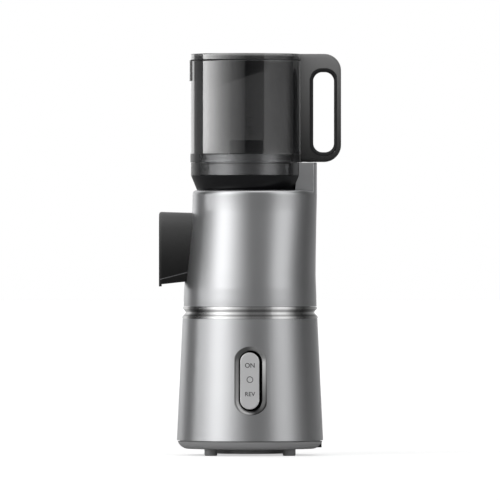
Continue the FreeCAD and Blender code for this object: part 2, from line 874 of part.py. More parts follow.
def gearbox_case():
    """Case under the ring gear, bolted on the motor can."""
    wall = ring_pitch + 5
    case = turned([
        (sun_pitch + 2.0, can_top),
        (wall + gearbox_wall, can_top),
        (wall + gearbox_wall, gearbox_top - 4),
        (wall, gearbox_top - 4),
        (wall, gear_z - 1),
        (wall - 4, gear_z - 1),
        (wall - 4, can_top + gearbox_wall),
        (sun_pitch + 2.0, can_top + gearbox_wall),
    ], chamber_axis_y)
    return case


def gearbox_cover():
    """Lid of the gearbox with the output bearing's seat and four ears for the posts."""
    wall = ring_pitch + 5
    seat = output_bearing_radius
    cover = turned([
        (seat, carrier_top + 1.0),
        (seat + 3, carrier_top + 1.0),
        (seat + 3, gearbox_top - 4),
        (wall + gearbox_wall, gearbox_top - 4),
        (wall + gearbox_wall, gearbox_top),
        (output_radius + 1.5, gearbox_top),
        (output_radius + 1.5, gearbox_top - 0.5),
        (seat, gearbox_top - 0.5),
    ], chamber_axis_y)
    for x, y in post_places():
        ear = rod(5.5, gearbox_top - 4, gearbox_top, x, y)
        cover = cover.fuse(ear)
    for x, y in post_places():
        cover = cover.cut(rod(2.6, gearbox_top - 6, gearbox_top + 1, x, y))
    return cover.removeSplitter()


def output_bearing():
    """Bearing that carries the output shaft."""
    low = gearbox_top - 0.5 - output_bearing_width
    return pipe(output_bearing_radius, output_radius + running_fit, low, gearbox_top - 0.5)


def isolators():
    """Rubber grommets between the gearbox's ears and the deck's posts."""
    grommets = [pipe(5.0, 2.0, gearbox_top, gearbox_top + 3.5, x, y) for x, y in post_places()]
    return Part.makeCompound(grommets)


def gearbox_screws():
    """Screws through the ears and isolators into the posts."""
    low = gearbox_top - 6.0
    return Part.makeCompound([screw(3.6, 1.5, low, gearbox_top + 12, x, y) for x, y in post_places()])


# Juicing chamber

def cone_points(inset, z0, z1):
    """Profile of the upper shell, moved inwards, from the axis out and up between two heights."""
    waist = chamber_z + cone_waist_rise
    shoulder = chamber_z + cone_shoulder_rise
    top = chamber_z + cone_top_rise
    return [
        (0, z0),
        (cone_bottom_radius - inset, z0),
        ((cone_bottom_radius - inset - 0.1, (z0 + waist) / 2), (cone_waist_radius - inset, waist)),
        (cone_shoulder_radius - inset, shoulder),
        (cone_top_radius - inset, top),
        ((cone_top_radius - inset - 1.0, (top + z1) / 2 + 1.0), (cone_rim_radius - inset, z1)),
        (0, z1),
    ]


def cone_envelope():
    """The upper shell as if it were solid, without its spine."""
    return turned(cone_points(0.0, chamber_z, cone_top))


def spine_envelope(inset=0.0):
    """Rear spine: a rounded upright bar with a slightly waisted back."""
    half = spine_half_width - inset
    radius = max(spine_corner_radius - inset, 1.0)
    bar = block(-half, half, 28, 72, chamber_z - 1, spine_top + 1)
    waist = chamber_z + 30
    low = chamber_z + (inset and 8)
    back = [
        (28, low),
        (spine_bottom_back - inset, low),
        (spine_waist_back - inset, waist),
        (spine_top_back - inset, chamber_z + cone_shoulder_rise),
        (spine_top_back - inset, spine_top - inset),
        (28, spine_top - inset),
    ]
    bar = bar.common(prism(back, "yz", -half - 1, half + 1))
    sides = [edge for edge in bar.Edges if edge.BoundBox.YMin > 60 and edge.BoundBox.ZLength > 10]
    return bar.makeFillet(radius, sides)


def bowl_profile(grow):
    """Outside of bowl and head, grown by a clearance, from the axis out."""
    return [
        (0, bowl_z - 1),
        (bowl_radius + grow, bowl_z - 1),
        (bowl_radius + grow, bowl_neck_z - 3),
        (bowl_neck_radius + grow, bowl_neck_z),
        (bowl_head_radius + grow, head_z),
        (bowl_head_radius + grow, spine_top + 5),
        (0, spine_top + 5),
    ]


def chamber_shell():
    """Silver upper shell and its spine in one moulding, open below, holed for spout and chute."""
    shell = cone_envelope().fuse(spine_envelope())
    hollow = turned(cone_points(shell_wall, chamber_z - 1, cone_top - shell_wall))
    shell = shell.cut(hollow).cut(spine_envelope(spine_wall).common(block(-40, 40, 50, 80, 0, spine_top)))
    shell = shell.cut(turned(bowl_profile(0.4), chamber_axis_y))
    spout_hole = Part.makeCylinder(spout_radius + 1, 40, Vector(0, -40, spout_height), Vector(0, -1, 0))
    shell = shell.cut(spout_hole).cut(chute_tool(0.5, -80))
    return shell.removeSplitter()


def chamber_floor():
    """Plate under the bowl that ties it to the shell's foot, with a collar round the bowl."""
    low = bowl_z - 3.6
    plate = rod(cone_waist_radius - shell_wall - 0.4, low, low + 3, 0, 0)
    collar = rod(bowl_radius + 3.2, low + 1, low + 6)
    seat = rod(bowl_radius + 0.2, low + 3, low + 9)
    return plate.fuse(collar).cut(seat).cut(rod(24, low - 1, low + 9)).removeSplitter()


def juicing_bowl():
    """Black bowl: floor with a tube round the shaft, straight wall, neck and flared shoulder."""
    wall = bowl_wall
    floor = bowl_z + bowl_floor_thickness
    tube_inner = shaft_tube_radius - shaft_tube_wall
    tube_top = bowl_z + 17
    bowl = turned([
        (tube_inner, bowl_z),
        (bowl_radius, bowl_z),
        (bowl_radius, bowl_neck_z - 3),
        (bowl_neck_radius, bowl_neck_z),
        (bowl_head_radius, head_z),
        (bowl_head_radius - wall, head_z),
        (bowl_neck_radius - wall, bowl_neck_z + 0.8),
        (bowl_radius - wall, bowl_neck_z - 3),
        (bowl_radius - wall, floor),
        (shaft_tube_radius, floor),
        (shaft_tube_radius, tube_top),
        (tube_inner, tube_top),
    ], chamber_axis_y)
    spout_bore = Part.makeCylinder(spout_radius - spout_wall, 60, Vector(0, chamber_axis_y - 30, spout_height),
                                   Vector(0, -1, 0))
    pulp_bore = block(-60, -30, chamber_axis_y - chute_half_width + chute_wall,
                      chamber_axis_y + chute_half_width - chute_wall,
                      chute_height - chute_half_height + chute_wall, chute_height + chute_half_height - chute_wall)
    return bowl.cut(spout_bore).cut(pulp_bore)


def bowl_head():
    """Tinted ring on the bowl's shoulder that the hopper turns on."""
    return pipe(bowl_head_radius, bowl_head_radius - bowl_wall, head_z, head_top)


def bowl_seal():
    """Silicone seal round the shaft tube."""
    floor = bowl_z + bowl_floor_thickness
    inner = shaft_tube_radius
    return turned([
        (inner, floor),
        (inner + 3.5, floor),
        (inner + 3.5, floor + 1.5),
        (inner + 1.2, floor + 2),
        (inner + 1.2, floor + 5),
        (inner, floor + 5),
    ], chamber_axis_y)


def strainer_top_z():
    """Height where the strainer opens out into its funnel."""
    return bowl_neck_z - 3


def strainer_frame():
    """Plastic frame of the strainer: foot ring, ribs and the funnel under the collar."""
    inner = strainer_radius
    foot_z = bowl_z + bowl_floor_thickness + 0.3
    top = strainer_top_z()
    foot = pipe(bowl_radius - bowl_wall - 0.4, inner, foot_z, foot_z + 3)
    funnel = turned([
        (inner, top),
        (bowl_radius - bowl_wall - 0.4, top),
        (bowl_neck_radius - bowl_wall - 0.4, bowl_neck_z + 1.4),
        (collar_radius, bowl_neck_z + 8),
        (collar_radius, head_z),
        (collar_radius - 2, head_z),
        (collar_radius - 2, bowl_neck_z + 8.5),
        (inner + 1.6, top + 4),
    ], chamber_axis_y)
    rib = block(inner + strainer_wall, bowl_radius - bowl_wall - 0.4, chamber_axis_y - 1.2, chamber_axis_y + 1.2,
                foot_z + 2, top + 1)
    first = 30.0
    return joined([foot, funnel] + around(rib, strainer_rib_count, first))


def strainer_mesh():
    """Steel sleeve with rows of juice slots inside the frame."""
    low = bowl_z + bowl_floor_thickness + 3.3
    high = strainer_top_z()
    sleeve = pipe(strainer_radius + strainer_wall, strainer_radius, low, high)
    row_height = (high - low - 24) / strainer_slot_rows
    slots = []
    for row in range(strainer_slot_rows):
        z0 = low + 12 + row * row_height
        slot = block(strainer_radius - 3, strainer_radius + 4, chamber_axis_y - 0.6, chamber_axis_y + 0.6,
                     z0 + 2, z0 + row_height - 2)
        slots += around(slot, strainer_slots_per_row, 10.0)
    return sleeve.cut(slots[0].multiFuse(slots[1:])).cut(pulp_window())


def pulp_window():
    """Opening through the strainer's foot towards the pulp chute."""
    half = chute_half_width - chute_wall
    return block(-60, -25, chamber_axis_y - half, chamber_axis_y + half,
                 chute_height - chute_half_height + chute_wall, chute_height + chute_half_height - chute_wall)


def strainer_collar():
    """Silver collar of the strainer, seen through the bowl's head, with inner bayonet ledges."""
    low = head_z
    high = head_z + collar_height
    collar = pipe(collar_radius, collar_radius - 2, low, high)
    ledge = sector(collar_radius - 1.9, hopper_mouth_radius + 2.4 + moving_gap, high - 3.6, high - 1.2)
    return joined([collar] + around(ledge, lug_count))


def sector(outer, inner, z0, z1):
    """Part of a ring as wide as a bayonet lug, centred on +X of the chamber's axis."""
    half = math.tan(math.radians(lug_angle / 2)) * outer * 1.2
    wedge = prism([(0, 0), (outer * 1.2, -half), (outer * 1.2, half)], "xy", z0, z1)
    wedge.translate(Vector(0, chamber_axis_y, 0))
    return pipe(outer, inner, z0, z1).common(wedge)


def interlock_sensor():
    """Reed switch potted in the spine's head, under the handle's magnet."""
    y = spine_top_back - 7
    return block(-6, 6, y - 3, y + 2.5, spine_top - spine_wall - 6, spine_top - spine_wall)


# Hood, spout and chute

def hood_arch(grow, y0, y1, bottom):
    """Arched bar along Y whose crown falls a little towards the front."""
    half = hood_half_width + grow
    wires = []
    for y in (y0, y1):
        centre = hood_top - hood_half_width - hood_top_slope * (hood_root - y)
        points = [(-half, bottom), (half, bottom), (half, centre), ((0, centre + half), (-half, centre))]
        wire = outline(points, "xz")
        wire.translate(Vector(0, y, 0))
        wires.append(wire)
    return upright(Part.makeLoft(wires, True, True))


def above_hood_edge(drop=0.0, rise=200.0):
    """Block between the hood's lower edge, which rises towards the shell, and a line above it."""
    low = hood_bottom + hood_front_lip - drop
    run = hood_side_rise / (hood_root - hood_front)
    back = hood_root + 20
    back_low = low + run * (back - hood_front)
    return prism([(hood_front - 5, low - 5 * run), (back, back_low), (back, back_low + rise),
                  (hood_front - 5, low - 5 * run + rise)], "yz", -30, 30)


def spout_hood():
    """Dark hood on the front of the shell: arched roof, flat face, open below, with a bead at its edge."""
    rear = hood_root + 8
    body = hood_arch(0, hood_front, rear, hood_bottom)
    front_edges = []
    for edge in body.Edges:
        box = edge.BoundBox
        if box.YMax < hood_front + 0.01 and box.ZMax > hood_bottom + 1:
            front_edges.append(edge)
    body = body.makeFillet(hood_edge_radius, front_edges)
    bead = hood_arch(hood_lip_proud, hood_front + hood_edge_radius, rear, hood_bottom)
    bead = bead.common(above_hood_edge(0.0, hood_lip_height))
    front_wall = body.common(block(-30, 30, hood_front - 1, hood_front + hood_wall + 0.4, 0, 400))
    hood = body.common(above_hood_edge()).fuse(bead).fuse(front_wall)
    hood = hood.cut(hood_arch(-hood_wall, hood_front + hood_wall, rear + 1, hood_bottom - 5))
    return hood.cut(cone_envelope()).removeSplitter()


def juice_spout():
    """Spout from the bowl's wall, out through the shell and down under the hood."""
    root = chamber_axis_y - math.sqrt((bowl_radius + 0.2) ** 2 - spout_radius ** 2)
    parts = []
    for radius in (spout_radius, spout_radius - spout_wall):
        run = Part.makeCylinder(radius, root - spout_reach, Vector(0, root, spout_height), Vector(0, -1, 0))
        elbow = Part.makeSphere(radius, Vector(0, spout_reach, spout_height))
        drop = rod(radius, spout_mouth, spout_height, 0, spout_reach)
        parts.append(run.fuse(elbow).fuse(drop))
    inner_run = Part.makeCylinder(spout_radius - spout_wall, 20, Vector(0, root + 10, spout_height),
                                  Vector(0, -1, 0))
    inner_drop = rod(spout_radius - spout_wall, spout_mouth - 5, spout_height, 0, spout_reach)
    spout = parts[0].cut(parts[1]).cut(inner_run).cut(inner_drop)
    y = cap_pin_y()
    z = cap_pin_z()
    for sign in (-1, 1):
        x0, x1 = sorted((sign * 3.4, sign * 5.4))
        web = block(x0, x1, y - cap_ear_radius, spout_reach - spout_radius + 1.8, spout_mouth, z + 4)
        ear = web.fuse(cross_rod(cap_ear_radius, x0, x1, y, z)).cut(cross_rod(cap_pin_radius, -9, 9, y, z))
        spout = spout.fuse(ear)
    bowl_room = rod(bowl_radius, bowl_z, cone_top)
    return spout.cut(parts[1]).cut(bowl_room).removeSplitter()


def cap_pin_y():
    """Hinge line of the drip cap, just in front of the spout's mouth."""
    return spout_reach - spout_radius - cap_pin_setoff


def cap_pin_z():
    """Height of the drip cap's hinge line."""
    return spout_mouth + 0.4


def drip_cap():
    """Cap under the spout's mouth, on a hinge at its front edge."""
    top = spout_mouth - moving_gap
    disc = rod(spout_radius - 0.4, top - cap_thickness, top, 0, spout_reach)
    arm = block(-2.8, 2.8, cap_pin_y(), spout_reach, top - cap_thickness, top)
    barrel = cross_rod(cap_barrel_radius, -2.8, 2.8, cap_pin_y(), cap_pin_z())
    web = block(-2.8, 2.8, cap_pin_y() - 1.2, cap_pin_y() + 1.4, top - cap_thickness, cap_pin_z())
    bore = cross_rod(cap_pin_radius + running_fit, -9, 9, cap_pin_y(), cap_pin_z())
    return joined([disc, arm, barrel, web]).cut(bore)


def cap_pin():
    """Steel pin of the drip cap, held in the spout's ears."""
    return cross_rod(cap_pin_radius, -5.4, 5.4, cap_pin_y(), cap_pin_z())


def chute_tool(grow, end):
    """Outer form of the pulp chute, sloping down away from the bowl as far as end."""
    half = chute_half_height + grow
    x0 = -bowl_radius + 2
    fall = chute_fall * (x0 - end) / (x0 - chute_reach)
    points = [
        (x0, chute_height - half),
        (x0, chute_height + half),
        (end, chute_height + half - fall),
        (end, chute_height - half - fall),
    ]
    wide = chute_half_width + grow
    return prism(points, "xz", chamber_axis_y - wide, chamber_axis_y + wide)


def pulp_chute():
    """Rectangular chute from the bowl's wall out over the edge of the base."""
    body = chute_tool(0.0, chute_reach).cut(rod(bowl_radius, 0, 400))
    return body.cut(chute_tool(-chute_wall, chute_reach - 5))


def pulp_plug():
    """Silicone plug at the chute's inner end, which the pulp pushes open."""
    plug = chute_tool(-chute_wall, chute_reach).common(pipe(bowl_radius + 3.4, bowl_radius, 0, 400))
    return plug


# Auger

def hexagon(across, z0, z1):
    """Hexagonal bar on the chamber's axis."""
    corner = across / math.sqrt(3)
    points = [(corner * math.cos(math.radians(a)), corner * math.sin(math.radians(a))) for a in range(0, 360, 60)]
    bar = prism(points, "xy", z0, z1)
    bar.translate(Vector(0, chamber_axis_y, 0))
    return bar


def auger_foot_z():
    """Underside of the auger, above the bowl's floor."""
    return bowl_z + bowl_floor_thickness + 1.2


def flight_section(angle, z):
    """One radial section through the flight, thick at the root and thinner at the tip."""
    root = auger_core_top_radius - flight_root_depth
    tip = strainer_radius - auger_clearance
    turn = math.radians(angle)
    corners = []
    for radius, rise in ((root, -flight_root_thickness), (tip, -flight_tip_thickness),
                         (tip, flight_tip_thickness), (root, flight_root_thickness)):
        corners.append(Vector(radius * math.cos(turn), chamber_axis_y + radius * math.sin(turn), z + rise / 2))
    return Part.makePolygon(corners + corners[:1])


def auger_flight(z0):
    """Screw flight lofted through radial sections; its pitch closes up towards the bottom."""
    total = round(360 * auger_turns)
    sections = []
    for angle in range(0, total + 1, flight_step_angle):
        along = angle / total
        rise = auger_pitch * auger_turns * along * (1 - flight_pitch_growth + flight_pitch_growth * along)
        sections.append(flight_section(angle, z0 + rise))
    return Part.makeLoft(sections, True, True)


def auger_screw():
    """Squeezing screw: a stout core thickening downwards with a helical flight, and the cutting hub."""
    foot = auger_foot_z()
    body_top = hub_z - 3
    core = turned([
        (0, foot + 2),
        (auger_core_bottom_radius + 7, foot + 2),
        (auger_core_bottom_radius + 3, foot + 9),
        (auger_core_top_radius + 2, foot + 62),
        (auger_core_top_radius, body_top - 14),
        (auger_core_top_radius, body_top),
        (auger_hub_radius - 1, hub_z),
        (auger_hub_radius, hub_z + 1),
        (auger_hub_radius, hub_top - 2),
        ((auger_hub_radius - 0.6, hub_top - 0.6), (auger_hub_radius - 2, hub_top)),
        (0, hub_top),
    ], chamber_axis_y)
    screw_body = core.fuse(auger_flight(foot + 9))
    cavity = rod(shaft_tube_radius + 1.7, foot, bowl_z + 18.5).fuse(rod(10.0, foot, hex_top + 3))
    notch = block(2, auger_hub_radius + 3, chamber_axis_y - 1.5, chamber_axis_y + 30, hub_top - 8, hub_top + 1)
    return screw_body.cut(cavity).cut(notch).removeSplitter()


def auger_socket():
    """Steel hexagon socket moulded into the auger."""
    bore = hexagon(hex_across_flats + 2 * hex_clearance, socket_z - 5, hex_top + 1.5)
    body = rod(10.0, bowl_z + 19, hex_top + 3)
    return body.cut(bore)


# Hopper, handle and lid

def hopper_drum():
    """Tinted drum, open above and below."""
    inner = hopper_radius - hopper_wall
    return turned([
        (inner, hopper_z),
        (hopper_radius - 0.6, hopper_z),
        (hopper_radius, hopper_z + 0.6),
        (hopper_radius, hopper_top),
        (inner, hopper_top),
    ], chamber_axis_y)


def hopper_floor():
    """Silver floor ring in the drum: outer band, flange, and a throat with three bayonet lugs."""
    throat = hopper_mouth_radius
    band_top = hopper_z + hopper_band_height
    low = hopper_z - 9
    ring = turned([
        (throat, low),
        (throat + 2.4, low),
        (throat + 2.4, hopper_z),
        (hopper_radius - hopper_wall, hopper_z),
        (hopper_radius - hopper_wall, hopper_z + 2),
        (hopper_band_radius, hopper_z + 2),
        (hopper_band_radius, band_top),
        (throat + 1.2, band_top),
        (throat, band_top - 1.5),
    ], chamber_axis_y)
    ledge_low = head_z + collar_height - 3.6
    lug = sector(collar_radius - 2 - moving_gap, throat + 2.3, ledge_low - 3.4, ledge_low - moving_gap)
    return joined([ring] + around(lug, lug_count))


def handle_points(inset):
    """Side outline of the D-shaped handle."""
    radius = handle_corner_radius - inset
    back = handle_back - inset
    return rounded([
        (handle_front + inset, hopper_z + inset, 0),
        (back, hopper_z + inset, radius),
        (back, lid_top - inset, radius),
        (handle_front + inset, lid_top - inset, 0),
    ])


def finger_points(grow):
    """Side outline of the stadium finger hole, grown outwards."""
    middle_y = finger_front + finger_width / 2
    middle_z = finger_z + finger_length / 2
    half = finger_width / 2 + grow
    points = stadium(half, finger_length / 2 + grow)
    moved = []
    for step in points:
        if isinstance(step[0], tuple):
            moved.append(tuple((a + middle_y, b + middle_z) for a, b in step))
        else:
            moved.append((step[0] + middle_y, step[1] + middle_z))
    return moved


def handle():
    """D-shaped handle with rounded outer edges, fixed to the drum by two pads, with ears for the lid."""
    half = handle_half_width
    body = prism(handle_points(0), "yz", -half, half)
    outer_edges = []
    for edge in body.Edges:
        box = edge.BoundBox
        flat = box.XLength < 0.01
        front = box.YMax < handle_front + 0.1
        if flat and not front:
            outer_edges.append(edge)
    body = body.makeFillet(handle_edge_radius, outer_edges)
    body = body.cut(prism(finger_points(trim_width), "yz", -half - 1, half + 1))
    body = body.cut(rod(hopper_radius + handle_gap, hopper_z - 1, lid_top + 1))
    pads = pipe(hopper_radius + handle_gap + 1, hopper_radius + 0.02, hopper_z, hopper_top)
    for low, high in ((hopper_z + 3, hopper_z + 19), (hopper_top - 22, hopper_top - 6)):
        body = body.fuse(pads.common(block(-8, 8, 40, handle_front + 2, low, high)))
    body = body.fuse(ears())
    half_slot = knuckle_half_width + moving_gap
    slot = block(-half_slot, half_slot, 40, pin_y + 3.4, pin_z - 3.4, lid_top + 1)
    body = body.cut(slot).cut(cross_rod(hinge_pin_radius, -10, 10, pin_y, pin_z))
    pocket = rod(3.1, hopper_z - 1, hopper_z + 3.2, 0, spine_top_back - 7)
    return body.cut(pocket).removeSplitter()


def ears():
    """Two ears either side of the lid's knuckle."""
    half = handle_half_width - 1
    bar = cross_rod(hinge_barrel_radius, -half, half, pin_y, pin_z)
    back = block(-half, half, pin_y, handle_front + 8, pin_z - hinge_barrel_radius, pin_z + hinge_barrel_radius)
    return bar.fuse(back).cut(rod(hopper_radius + 0.1, hopper_z, hopper_top + 2))


def handle_trim():
    """Dark lining of the finger hole, set back from the handle's sides."""
    half = handle_half_width - trim_setback
    ring = prism(finger_points(trim_width), "yz", -half, half)
    return ring.cut(prism(finger_points(0), "yz", -half - 1, half + 1))


def handle_magnet():
    """Magnet in the handle's foot that works the interlock sensor."""
    return rod(3.0, hopper_z + 0.2, hopper_z + 3.2, 0, spine_top_back - 7)


def handle_screws():
    """Screws from inside the drum into the handle's pads."""
    screws = []
    y = chamber_axis_y + hopper_radius - hopper_wall - 0.09
    for z in (hopper_z + 11, hopper_top - 14):
        head = Part.makeCylinder(3.2, 1.6, Vector(0, y - 1.6, z), Vector(0, 1, 0))
        screws.append(head)
    return Part.makeCompound(screws)


def hinge_pin():
    """Steel pin of the lid's hinge, held in the handle's ears."""
    return cross_rod(hinge_pin_radius, -9.5, 9.5, pin_y, pin_z)


def skirt_plane_block():
    """Half-space above the slanted lower edge of the lid's skirt."""
    front = chamber_axis_y - hopper_radius
    back = chamber_axis_y + hopper_radius
    return prism([
        (front, lid_z - lid_skirt_depth),
        (back, lid_z),
        (back, lid_top),
        (front, lid_top),
    ], "yz", -70, 70)


def lid():
    """Tinted lid: a flat cap with a hanging rim and a leaning skirt cut off at a slant."""
    radius = hopper_radius
    inner = radius - hopper_wall - 0.6
    cap = turned([
        (0, lid_top - lid_wall),
        (radius - lid_wall, lid_top - lid_wall),
        (radius - lid_wall, lid_z),
        (radius, lid_z),
        (radius, lid_top - 1),
        (radius - 1, lid_top),
        (0, lid_top),
    ], chamber_axis_y)
    low = lid_z - lid_skirt_depth
    skirt = turned([
        (inner - lid_skirt_lean, low),
        (inner, lid_z),
        (inner, lid_top - lid_wall),
        (inner - lid_skirt_wall, lid_top - lid_wall),
        (inner - lid_skirt_wall, lid_z),
        (inner - lid_skirt_wall - lid_skirt_lean, low),
    ], chamber_axis_y).common(skirt_plane_block())
    latch = pipe(radius + moving_gap + latch_thickness, radius + moving_gap, lid_z - latch_drop, lid_z + 2)
    bridge = pipe(radius + moving_gap + latch_thickness, radius - 1, lid_z, lid_z + 2)
    front = block(-latch_half_width, latch_half_width, -80, -40, 0, 500)
    tab = latch.fuse(bridge).common(front)
    edge = hinge_barrel_radius + 1.5
    clear = block(-handle_half_width - 1.5, handle_half_width + 1.5, pin_y - edge, pin_y + 9, lid_z - 9, lid_top + 1)
    shell = cap.fuse(skirt).cut(clear).fuse(tab)
    arm = block(-knuckle_half_width, knuckle_half_width, pin_y - edge - 3, pin_y, pin_z - 1.9,
                pin_z + hinge_barrel_radius)
    barrel = cross_rod(hinge_barrel_radius, -knuckle_half_width, knuckle_half_width, pin_y, pin_z)
    bore = cross_rod(hinge_pin_radius + running_fit, -30, 30, pin_y, pin_z)
    return shell.fuse(arm).fuse(barrel).cut(bore).removeSplitter()


pieces = {
    "base_shell": base_shell,
    "trim_ring": trim_ring,
    "bottom_cover": bottom_cover,
    "cord_gland": cord_gland,
    "rubber_feet": rubber_feet,
    "cover_screws": cover_screws,
    "top_deck": top_deck,
    "deck_screws": deck_screws,
    "shaft_seal": shaft_seal,
    "rocker_frame": rocker_frame,
    "rocker_paddle": rocker_paddle,
    "switch_body": switch_body,
    "control_board": control_board,
    "cooling_fan": cooling_fan,
    "motor_end_bell": motor_end_bell,
    "motor_can": motor_can,
    "field_magnets": field_magnets,
    "armature_core": armature_core,
    "commutator": commutator,
    "motor_bearings": motor_bearings,
    "motor_shaft": motor_shaft,
    "ring_gear": ring_gear,
    "planet_carrier": planet_carrier,
    "drive_shaft": drive_shaft,
    "gearbox_case": gearbox_case,
    "gearbox_cover": gearbox_cover,
    "output_bearing": output_bearing,
    "isolators": isolators,
    "gearbox_screws": gearbox_screws,
    "chamber_shell": chamber_shell,
    "chamber_floor": chamber_floor,
    "juicing_bowl": juicing_bowl,
    "bowl_head": bowl_head,
    "bowl_seal": bowl_seal,
    "strainer_frame": strainer_frame,
    "strainer_mesh": strainer_mesh,
    "strainer_collar": strainer_collar,
    "interlock_sensor": interlock_sensor,
    "spout_hood": spout_hood,
    "juice_spout": juice_spout,
    "drip_cap": drip_cap,
    "cap_pin": cap_pin,
    "pulp_chute": pulp_chute,
    "pulp_plug": pulp_plug,
    "auger_screw": auger_screw,
    "auger_socket": auger_socket,
    "hopper_drum": hopper_drum,
    "hopper_floor": hopper_floor,
    "handle": handle,
    "handle_trim": handle_trim,
    "handle_magnet": handle_magnet,
    "handle_screws": handle_screws,
    "hinge_pin": hinge_pin,
    "lid": lid,
}
for index in range(planet_count):
    pieces[f"planet_gear_{index + 1}"] = lambda number=index: planet_gear(number)

os.makedirs("parts", exist_ok=True)
for node, make in pieces.items():
    shape = make()
    shape.exportStep(f"parts/{node}.step")
    print(node, shape.ShapeType, len(shape.Solids), round(shape.Volume), shape.isValid())
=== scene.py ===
"""Photo-matched scene of an upright cold press juicer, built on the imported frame."""

import json
import logging
import math
from dataclasses import dataclass, field
from enum import Enum
from typing import Callable, Optional, Sequence, Union

import bpy
import numpy as np
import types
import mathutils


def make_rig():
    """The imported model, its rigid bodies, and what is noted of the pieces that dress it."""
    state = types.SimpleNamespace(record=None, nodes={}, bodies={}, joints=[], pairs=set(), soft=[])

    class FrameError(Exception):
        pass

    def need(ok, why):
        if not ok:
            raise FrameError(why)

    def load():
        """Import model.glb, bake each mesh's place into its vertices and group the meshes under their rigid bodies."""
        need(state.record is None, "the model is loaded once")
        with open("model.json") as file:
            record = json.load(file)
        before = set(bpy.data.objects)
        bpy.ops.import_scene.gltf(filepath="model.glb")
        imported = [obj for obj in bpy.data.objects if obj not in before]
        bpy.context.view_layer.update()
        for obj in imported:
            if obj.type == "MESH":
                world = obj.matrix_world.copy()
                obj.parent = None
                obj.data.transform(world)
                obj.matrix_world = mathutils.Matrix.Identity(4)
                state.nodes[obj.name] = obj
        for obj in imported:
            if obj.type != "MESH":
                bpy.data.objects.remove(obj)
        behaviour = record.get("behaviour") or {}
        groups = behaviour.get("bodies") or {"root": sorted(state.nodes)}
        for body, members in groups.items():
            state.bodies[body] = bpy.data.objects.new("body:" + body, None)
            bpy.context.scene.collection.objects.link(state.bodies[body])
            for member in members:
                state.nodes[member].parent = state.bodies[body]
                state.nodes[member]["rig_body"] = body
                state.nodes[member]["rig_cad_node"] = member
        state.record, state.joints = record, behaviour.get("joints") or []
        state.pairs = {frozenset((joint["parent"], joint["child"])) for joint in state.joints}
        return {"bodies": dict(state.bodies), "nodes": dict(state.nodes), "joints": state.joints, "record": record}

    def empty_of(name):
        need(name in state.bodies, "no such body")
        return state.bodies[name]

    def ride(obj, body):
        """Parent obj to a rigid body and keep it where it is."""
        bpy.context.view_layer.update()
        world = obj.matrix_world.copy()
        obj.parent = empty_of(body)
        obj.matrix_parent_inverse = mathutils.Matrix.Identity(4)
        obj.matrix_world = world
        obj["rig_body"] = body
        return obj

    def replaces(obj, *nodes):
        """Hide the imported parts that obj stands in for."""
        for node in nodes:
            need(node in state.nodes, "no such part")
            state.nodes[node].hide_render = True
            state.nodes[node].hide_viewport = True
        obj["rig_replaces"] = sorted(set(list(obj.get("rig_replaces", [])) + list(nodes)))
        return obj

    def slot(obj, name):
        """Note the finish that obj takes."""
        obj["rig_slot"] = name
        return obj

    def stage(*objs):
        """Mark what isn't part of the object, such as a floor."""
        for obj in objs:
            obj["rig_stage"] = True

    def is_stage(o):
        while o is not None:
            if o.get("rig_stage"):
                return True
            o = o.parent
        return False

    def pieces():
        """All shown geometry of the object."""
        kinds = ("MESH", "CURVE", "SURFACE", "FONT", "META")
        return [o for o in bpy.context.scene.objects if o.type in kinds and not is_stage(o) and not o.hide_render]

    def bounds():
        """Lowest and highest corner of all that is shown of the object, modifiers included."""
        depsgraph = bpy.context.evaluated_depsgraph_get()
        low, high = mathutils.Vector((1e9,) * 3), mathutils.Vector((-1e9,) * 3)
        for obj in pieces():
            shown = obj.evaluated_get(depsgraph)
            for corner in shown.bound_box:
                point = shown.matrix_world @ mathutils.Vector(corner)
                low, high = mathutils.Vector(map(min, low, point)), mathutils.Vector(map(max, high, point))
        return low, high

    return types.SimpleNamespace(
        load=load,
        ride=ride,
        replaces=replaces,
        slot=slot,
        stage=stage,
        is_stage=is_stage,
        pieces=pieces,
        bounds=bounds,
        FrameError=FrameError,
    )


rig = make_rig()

logging.basicConfig(level=logging.INFO, format="%(message)s")
log = logging.getLogger("juicer")

MM = 0.001
AXIS_Y = -3.8
Array = np.ndarray
Piece = bpy.types.Object
Node = bpy.types.Node
Operand = Union["Value", int, float]


